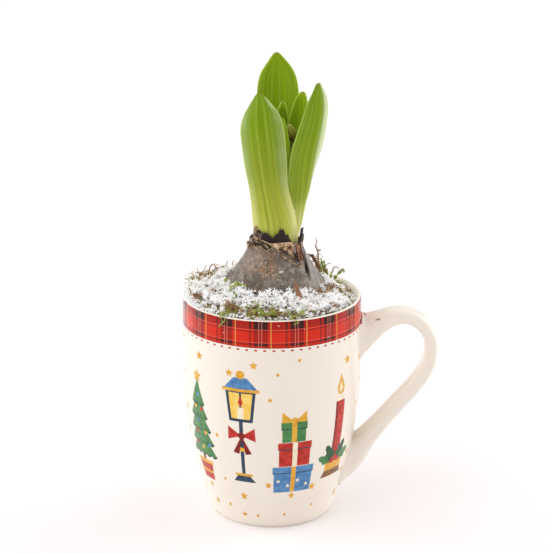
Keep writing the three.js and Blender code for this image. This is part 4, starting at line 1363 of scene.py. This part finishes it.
# A small clump in front of the bulb, and single flakes on the front leaf and the handle
CLUMP_FLAKES = 5
SINGLE_FLAKES = [((10.0, -11.4, 145.5), 0.9), ((54.4, -1.5, 96.2), 0.7)]


def snow_piece():
    """Loose white flakes, heaped on the snow bank and strewn on the moss, the lip and the bulb."""
    chance = random.Random(47)
    between = chance.uniform
    mesh = Mesh()
    for _ in range(BED_FLAKES):
        place = bed_spot(chance)
        if chance.random() < bareness(place) * 0.94:
            continue
        place.z = ground_height(place) + 0.3 + chance.random() ** 1.3 * 1.8
        add_flake(mesh, chance, place, between(1.5, 3.4))
    for _ in range(RIGHT_FLAKES):
        place = polar(between(32, 37.4), radians(between(-62, 6)), 0)
        if chance.random() > bareness(place):
            place.z = bank_height(place) + between(0.2, 1.2)
            add_flake(mesh, chance, place, between(1.2, 2.6))
    for _ in range(HEAPED_FLAKES):
        angle = radians(chance.gauss(196, 24))
        place = polar(between(33.5, 38.2), angle, between(104.8, 106.2))
        add_flake(mesh, chance, place, between(1.2, 2.8))
    for k in range(LIP_FLAKES):
        angle = radians(chance.gauss(205, 50) if k % 2 else chance.gauss(188, 17))
        radius = between(37.2, 39.4 if k % 2 else 41.0)
        add_flake(mesh, chance, polar(radius, angle, between(103.9, 105.0)), between(0.6, 1.9))
    for degrees, height in WALL_FLAKES:
        add_flake(mesh, chance, polar(WALL_FLAKE_RADIUS, radians(degrees), height), 0.8)
    for _ in range(BULB_FLAKES):
        height = between(112, 123)
        angle = radians(chance.gauss(-75, 40))
        place = polar(radius_at(BULB_OUTSIDE, height) + 0.3, angle, height, PLANT_X)
        add_flake(mesh, chance, place, between(0.3, 0.7))
    for _ in range(CLUMP_FLAKES):
        add_flake(mesh, chance, polar(17.7, radians(between(-83, -80)), 119.2, PLANT_X), 0.9)
    for place, size in SINGLE_FLAKES:
        add_flake(mesh, chance, Vector(place), size)
    # The flakes carry a faint painted glow, an emission that lightens them
    white = uneven_material("snow_flake", ("faf9f8", "fdfdfd", "ffffff"), 400, 0.6, 0.0001, 0.3, 0.07)
    add_piece("snow_flakes", mesh, [white], "snow", "snow", smooth=False)


def draw_in(place, reach):
    """Move a place towards the mug's axis until it is within reach of it."""
    span = hypot(place.x, place.y)
    if span > reach:
        place.x *= reach / span
        place.y *= reach / span


def wiry_path(chance, foot, heading, length, rise, curl, steps=12):
    """A stem that rises from its foot, arches over and curls round."""
    path = [foot]
    for k in range(steps):
        share = k / (steps - 1)
        turn = heading + curl * share + chance.uniform(-0.3, 0.3)
        up = lerp(rise, -0.5 * rise, share) + chance.uniform(-0.2, 0.2)
        stride = Vector((cos(turn) * cos(up), sin(turn) * cos(up), sin(up)))
        place = path[-1] + stride * length / steps
        if place.z < MUG_HEIGHT + 0.6:
            draw_in(place, WALL_RADIUS - 0.4)
        path.append(place)
    return path


def add_sprig(mesh, chance, path, material, thick, leafy, leaf):
    """A stem along a path, with short pointed leaflets all round it."""
    last = len(path) - 1
    radii = [thick * (1 - 0.6 * k / last) for k in range(last + 1)]
    mesh.add(*tube(path, radii, 4), material)
    length = sum((b - a).length for a, b in zip(path, path[1:]))
    for _ in range(int(length * leafy)):
        spot = chance.uniform(0.1, 1) * last
        i = min(int(spot), last - 1)
        place = path[i].lerp(path[i + 1], spot - i)
        ahead = (path[i + 1] - path[i]).normalized()
        away = (random_direction(chance) + ahead * 0.9).normalized()
        size = leaf * chance.uniform(0.6, 1.2) * (1.1 - 0.5 * spot / last)
        mesh.add(*shard(place + away * size * 0.4, away, size, size * 0.36, 0.14), material)


def drawn(line):
    """Twelve points along a smooth line."""
    return [Vector(along(line, k / 11)) for k in range(12)]


# Sprigs that stand up or arch over: colour, thickness, leaflets per millimetre, their length, and the line
STANDING_SPRIGS = [
    (
        BROWN, 0.3, 3, 1.3,
        [(21.5, 21, 107), (22, 21, 113), (21, 21, 118), (20.5, 21, 120.5), (21, 21, 122.5), (20, 21, 124)],
    ),
    (BROWN, 0.5, 8, 1.4, [(20.8, 21, 118.6), (21.6, 21, 118.2), (22.6, 21, 117.8)]),
    (BROWN, 0.4, 9, 1.9, [(22.5, 20, 106), (21.5, 20, 110.5), (20, 20, 114), (18.8, 20, 116.2)]),
    (BROWN, 0.4, 9, 1.8, [(23.5, 21, 106), (22, 21, 110), (20.6, 21, 112.6)]),
    (GREEN, 0.6, 11, 2.3, [(24.5, 20, 102), (23.8, 20, 105), (23, 20, 108.5)]),
    (GREEN, 0.6, 11, 2.3, [(26.5, 18, 101), (26, 18, 104), (25, 18, 107)]),
    (BROWN, 0.2, 2, 1.0, [(21, 21, 110), (20.5, 21, 114.5), (22, 21, 116.5), (24, 21, 114.5)]),
    (GREEN, 0.5, 10, 2.0, [(25, 22, 103), (24.5, 22, 107), (23.5, 22, 111), (23, 22, 113.5)]),
    (BROWN, 0.25, 3, 1.2, [(24.5, 22, 105), (25, 22, 109.5), (26.5, 22, 111.5), (27.6, 22, 111.4)]),
    (GREEN, 0.5, 10, 2.0, [(27, 22, 102), (26, 22, 105), (25, 22, 109), (24.5, 22, 112.5)]),
    (
        BROWN, 0.3, 4, 1.4,
        [(27, 20, 102), (27.5, 20, 105.5), (28.5, 20, 109), (29.6, 20, 110.5), (31, 20, 109.5)],
    ),
    (
        GREEN, 0.35, 7, 1.8,
        [(28, 18, 102), (30.5, 18, 107), (32, 18, 108.5), (33, 18, 110), (33.6, 18, 108.5)],
    ),
    (GREEN, 0.55, 10, 2.2, [(26.5, 16, 101), (27, 16, 104), (27.5, 16, 108.5)]),
    (GREEN, 0.4, 8, 1.7, [(28, 17, 101), (27.5, 17, 104), (25.5, 17, 106.5)]),
    (BROWN, 0.5, 9, 2.0, [(21.5, 20, 108), (20.4, 20, 112), (18.8, 20, 115), (17.2, 20, 116.4)]),
    (BROWN, 0.35, 6, 1.5, [(22.6, 20, 106), (22.4, 20, 110), (21.2, 20, 113.6), (21.8, 20, 116)]),
    (GREEN, 0.45, 8, 1.7, [(23.6, 20, 103), (22.8, 20, 107), (22.6, 20, 111)]),
    (GREEN, 0.4, 8, 1.6, [(29.5, 18, 101), (29, 18, 104.5), (29.6, 18, 107)]),
    (BROWN, 0.4, 7, 1.5, [(24.6, 19, 103), (25, 19, 107), (25.8, 19, 109.6)]),
    (
        GREEN, 0.35, 3, 1.0,
        [(-31, -6, 105), (-30, -6, 107.5), (-28, -6, 109.6), (-24.5, -6, 109.6), (-21.6, -6, 107)],
    ),
    (GREEN, 0.5, 8, 1.8, [(-11.5, -19, 113.2), (-15, -18.7, 114), (-18, -17.5, 112.4), (-19, -16, 109.4)]),
    (GREEN, 0.5, 8, 1.9, [(-19, -16, 110), (-17.5, -19, 109.8), (-15.5, -21, 109.6)]),
    (GREEN, 0.45, 7, 1.7, [(-20.5, -9, 114), (-21, -10, 111.5), (-19.5, -13, 109.5)]),
    (BROWN, 0.3, 3, 1.0, [(-36, -14, 105), (-34.5, -15, 107.5), (-32.5, -15, 109.5)]),
    (GREEN, 0.3, 7, 1.4, [(-22, 14, 108), (-22.5, 14, 111), (-21, 14, 112.6)]),
    (GREEN, 0.3, 6, 1.2, [(-27, 12, 106), (-26.5, 12, 109), (-26, 12, 110.5)]),
    (GREEN, 0.3, 6, 1.2, [(-34, 2, 104.5), (-33, 2, 107), (-31.5, 2, 107.6)]),
    (GREEN, 0.3, 6, 1.2, [(-38, -2, 104.4), (-37.4, -2, 106.4), (-36, -2, 106.6)]),
]
# Wiry dry stems at the back left: thickness and line
WIRY_STEMS = [
    (0.28, [(-37, 12, 103), (-35.5, 12, 108.5), (-33.5, 12, 109.5), (-31, 12, 109)]),
    (0.22, [(-33, 14, 105), (-32, 14, 109.5), (-30.5, 14, 113)]),
    (0.34, [(-30, 14, 105), (-29.5, 14, 109.5), (-28.5, 14, 112.5), (-27, 14, 113.2), (-25.4, 14, 111)]),
    (0.26, [(-24, 14, 108), (-23, 14, 111.5), (-21.5, 14, 113), (-20.5, 14, 115)]),
    (0.2, [(-37, 8, 103.5), (-37.6, 8, 107), (-37, 8, 109.5)]),
    (0.2, [(-36, 16, 104), (-34.6, 16, 108), (-34.9, 16, 111)]),
    (0.22, [(-19, 15, 110), (-18.4, 15, 113.6), (-17.6, 15, 115)]),
]
# Brown tufts that stand out of the snow: where, and how wide
BROWN_TUFTS = [
    (17.4, -16.4, 1.6), (18.6, -18.2, 1.4), (20.4, -13.4, 1.4), (26.0, -3.6, 1.6), (27.6, -5.4, 1.4),
    (23.4, -13.6, 1.2), (33.6, 2.6, 1.2), (-33.4, -17.4, 1.5), (-31.6, -19.4, 1.4), (35.2, 10.6, 1.4),
    (31.6, 1.0, 0.8), (34.2, -4.6, 0.7), (27.4, -24.6, 0.7), (-26.4, -13.2, 1.0),
]
# Crumbs of bark on the handle: where each lies, the way it points, and its length
CRUMBS = [
    ((47.4, -5.8, 92.8), (1, -0.2, 0.5), 2.4), ((48.9, -6.0, 93.2), (1, -0.3, -0.6), 1.8),
    ((42.4, -4.0, 95.0), (0.7, 0, -0.7), 2.2),
]
# Sprigs that hang over the lip: degrees, and how far down they reach
HANGING_SPRIGS = [(-123, 5.2), (-121, 3.0), (-76, 1.6)]
STEMS_PER_TUFT = 9
STRAY_SPRIGS = 230
STRANDS = 130


def sprigs_piece():
    """Moss sprigs: the tall ones, then bare spots, brown tufts, strays, crumbs and those over the lip."""
    chance = random.Random(23)
    between = chance.uniform
    mesh = Mesh()
    for colour, thick, leafy, leaf, line in STANDING_SPRIGS:
        add_sprig(mesh, chance, drawn(line), colour, thick, leafy, leaf)
    for (middle, reach), (*_, colour) in zip(SPOT_MIDDLES, BARE_SPOTS):
        for _ in range(int(reach * reach * (1.1 if colour == GREEN else 1.6))):
            foot = middle + random_direction(chance) * reach
            draw_in(foot, WALL_RADIUS - 0.7)
            if hypot(foot.x - PLANT_X, foot.y) < bulb_radius(BED_AT_BULB - 3) + 0.6:
                continue
            foot.z = pad_height(foot) + 0.3
            odd = chance.random() < 0.3
            heading = between(0, TAU)
            path = wiry_path(chance, foot, heading, between(2.5, 6), between(0.6, 1.3), between(-2.4, 2.4), 8)
            add_sprig(mesh, chance, path, 1 - colour if odd else colour, 0.15, 3.6, 1.1)
    for x, y, spread in BROWN_TUFTS:
        for _ in range(STEMS_PER_TUFT):
            foot = Vector((x + chance.gauss(0, spread * 0.6), y + chance.gauss(0, spread * 0.6), 0))
            foot.z = ground_height(foot) + 0.4
            heading = between(0, TAU)
            path = wiry_path(chance, foot, heading, between(2, 4), between(0.6, 1.2), between(-2, 2), 6)
            add_sprig(mesh, chance, path, BROWN, 0.24, 4.0, 1.5)
    for k in range(STRAY_SPRIGS):
        foot = bed_spot(chance)
        foot.z = ground_height(foot) + between(0.3, 1.7)
        heading = between(0, TAU)
        path = wiry_path(chance, foot, heading, between(0.8, 2.6), 0.3, between(-2, 2), 4)
        add_sprig(mesh, chance, path, GREEN if k % 5 == 0 else BROWN, 0.13, 2.4, 0.9)
    for place, away, length in CRUMBS:
        mesh.add(*shard(Vector(place), Vector(away).normalized(), length, 0.9, 0.5), BROWN)
    for degrees, drop in HANGING_SPRIGS:
        angle = radians(degrees)
        points = [(36.4, 103.6), (38.4, 105.2), (40.4, 104.9), (41.7, 104.3 - drop * 0.4), (42, 104.3 - drop)]
        path = []
        for k in range(11):
            radius, height = along(points, k / 10)
            path.append(polar(radius, angle + 0.03 * sin(k), height))
        add_sprig(mesh, chance, path, GREEN, 0.2, 5.0, 1.2)
    green = uneven_material("moss_green", ("76862a", "a6b43e", "d0d67a"), 300, 0.7, 0.0001, 0.15)
    brown = uneven_material("moss_brown", ("6a4a2c", "a57a52", "d2b088"), 300, 0.8, 0.0001)
    add_piece("moss_sprigs", mesh, [green, brown], "moss")


def strands_piece():
    """Wiry dry stems that arch and curl over the bedding, and a curled brown stub of old leaf."""
    chance = random.Random(61)
    between = chance.uniform
    mesh = Mesh()
    for thickness, line in WIRY_STEMS:
        path = drawn(line)
        mesh.add(*tube(path, [thickness] * len(path), 5), BROWN)
    for k in range(STRANDS):
        if k % 2:
            angle = radians(between(122, 196))
            place = polar(between(28, 37), angle, 0)
            rise, length = between(0.7, 1.4), between(5, 10)
        else:
            place = bed_spot(chance, 36.5)
            rise, length = between(0.3, 0.9), between(4, 9)
        place.z = pad_height(place) + 0.4
        path = wiry_path(chance, place, between(0, TAU), length, rise, between(-3.2, 3.2))
        thickness = between(0.1, 0.19)
        mesh.add(*tube(path, [thickness] * len(path), 4), BROWN if chance.random() < 0.85 else GREEN)
    add_stub(mesh)
    green = uneven_material("strand_green", ("7c8c2c", "a2b048", "c4cc78"), 240, 0.7, 0.0001)
    brown = uneven_material("strand_brown", ("8c6a4a", "b58f6c", "d8bc98"), 240, 0.75, 0.0001)
    stub = uneven_material("stub_brown", ("4e3020", "80553a", "a67854"), 300, 0.7, 0.0003)
    add_piece("moss_strands", mesh, [green, brown, stub], "moss")


# The stub's line in front of the bulb, and half its width along it
STUB = [(12.8, -26.5, 104.5, 1.1), (12.4, -25.5, 108, 1.3), (11.4, -23.6, 112, 1.0), (10.0, -22, 115.8, 0.5)]


def add_stub(mesh):
    rows, columns = 16, 6
    points = []
    for depth in (0.0, 0.35):
        for i in range(rows + 1):
            x, y, z, half = along(STUB, i / rows)
            for j in range(columns + 1):
                across = j / columns * 2 - 1
                curve = half * 0.7 * across * across
                points.append(Vector((x + half * across, y + curve + depth + 0.2 * rough(z, across * 2), z)))
    mesh.add(points, sheet_faces(rows, columns), 2)


# Stage
# The soft lights: name, the direction each comes from, its width in degrees, and its strength
SUNS = [
    ("key", (-0.8, -0.45, 0.9), 60, 1.1), ("fill", (0.9, -0.2, 0.7), 80, 0.6),
    ("top", (0.1, 0.5, 1.0), 120, 0.65), ("left_edge", (-0.9, 0.42, 0.28), 50, 1.2),
    ("right_edge", (0.9, 0.42, 0.28), 50, 1.2),
]
STUDIO_COLOUR = (1.0, 0.99, 0.985, 1)
STUDIO_STRENGTH = 0.48
FLOOR_REACH = 4000


def set_stage():
    scene = bpy.context.scene
    data = bpy.data.cameras.new("camera")
    data.lens = CAMERA_LENS
    data.sensor_width = CAMERA_SENSOR
    data.shift_x = CAMERA_SHIFT
    data.clip_start = 0.01
    data.clip_end = 20
    camera = bpy.data.objects.new("camera", data)
    camera.location = (0, -CAMERA_DISTANCE * MM, CAMERA_HEIGHT * MM)
    camera.rotation_euler = (radians(90 - CAMERA_PITCH), 0, 0)
    scene.collection.objects.link(camera)
    scene.camera = camera
    scene.view_settings.view_transform = "Standard"

    corners = rectangle(-FLOOR_REACH, -FLOOR_REACH, FLOOR_REACH, FLOOR_REACH)
    plane = Mesh()
    plane.add([Vector((x, y, 0)) for x, y in corners], [(0, 1, 2, 3)])
    make_object("floor", plane, [floor_material()])

    world = bpy.data.worlds.new("studio")
    world.use_nodes = True
    backdrop = world.node_tree.nodes["Background"]
    backdrop.inputs["Color"].default_value = STUDIO_COLOUR
    backdrop.inputs["Strength"].default_value = STUDIO_STRENGTH
    scene.world = world
    for name, towards, width, strength in SUNS:
        light = bpy.data.lights.new(name, "SUN")
        light.angle = radians(width)
        light.energy = strength
        item = bpy.data.objects.new(name, light)
        item.rotation_euler = Vector(towards).to_track_quat("Z", "Y").to_euler()
        scene.collection.objects.link(item)


set_stage()
mug_piece()
print_piece()
bulb_piece()
neck_piece()
# The back and inner leaves are lifted with painted light, and the front leaf has a painted highlight below
# its tip
LEAF_SKINS = {
    "leaf_front": leaf_material("leaf_front_skin", 0.85, (0.75, "cadf7c"), painted_sheen=0.5),
    "leaf_back": leaf_material("leaf_back_skin", 0.1, (0.2, "b8cc58"), painted_lift=0.55),
    "leaf_right": leaf_material("leaf_right_skin", 0.12, (0.5, "bcd070"), pale_side=0.85),
}
inner_skin = leaf_material("leaf_inner_skin", 0.05, (0.6, "b4cc50"), painted_lift=0.75)
for leaf in LEAVES:
    leaf_piece(leaf, LEAF_SKINS.get(leaf, inner_skin))
spike_piece()
cushion_piece()
bank_piece()
snow_piece()
sprigs_piece()
strands_piece()
soil = uneven_material("soil_crumb", ("1c130d", "33241a", "4d3828"), 300, 0.95, 0.001)
bpy.data.objects["soil"].data.materials[0] = soil
roots = uneven_material("root_skin", ("cdbf9f", "e4d8ba", "f0e8d2"), 200, 0.6)
bpy.data.objects["roots"].data.materials[0] = roots
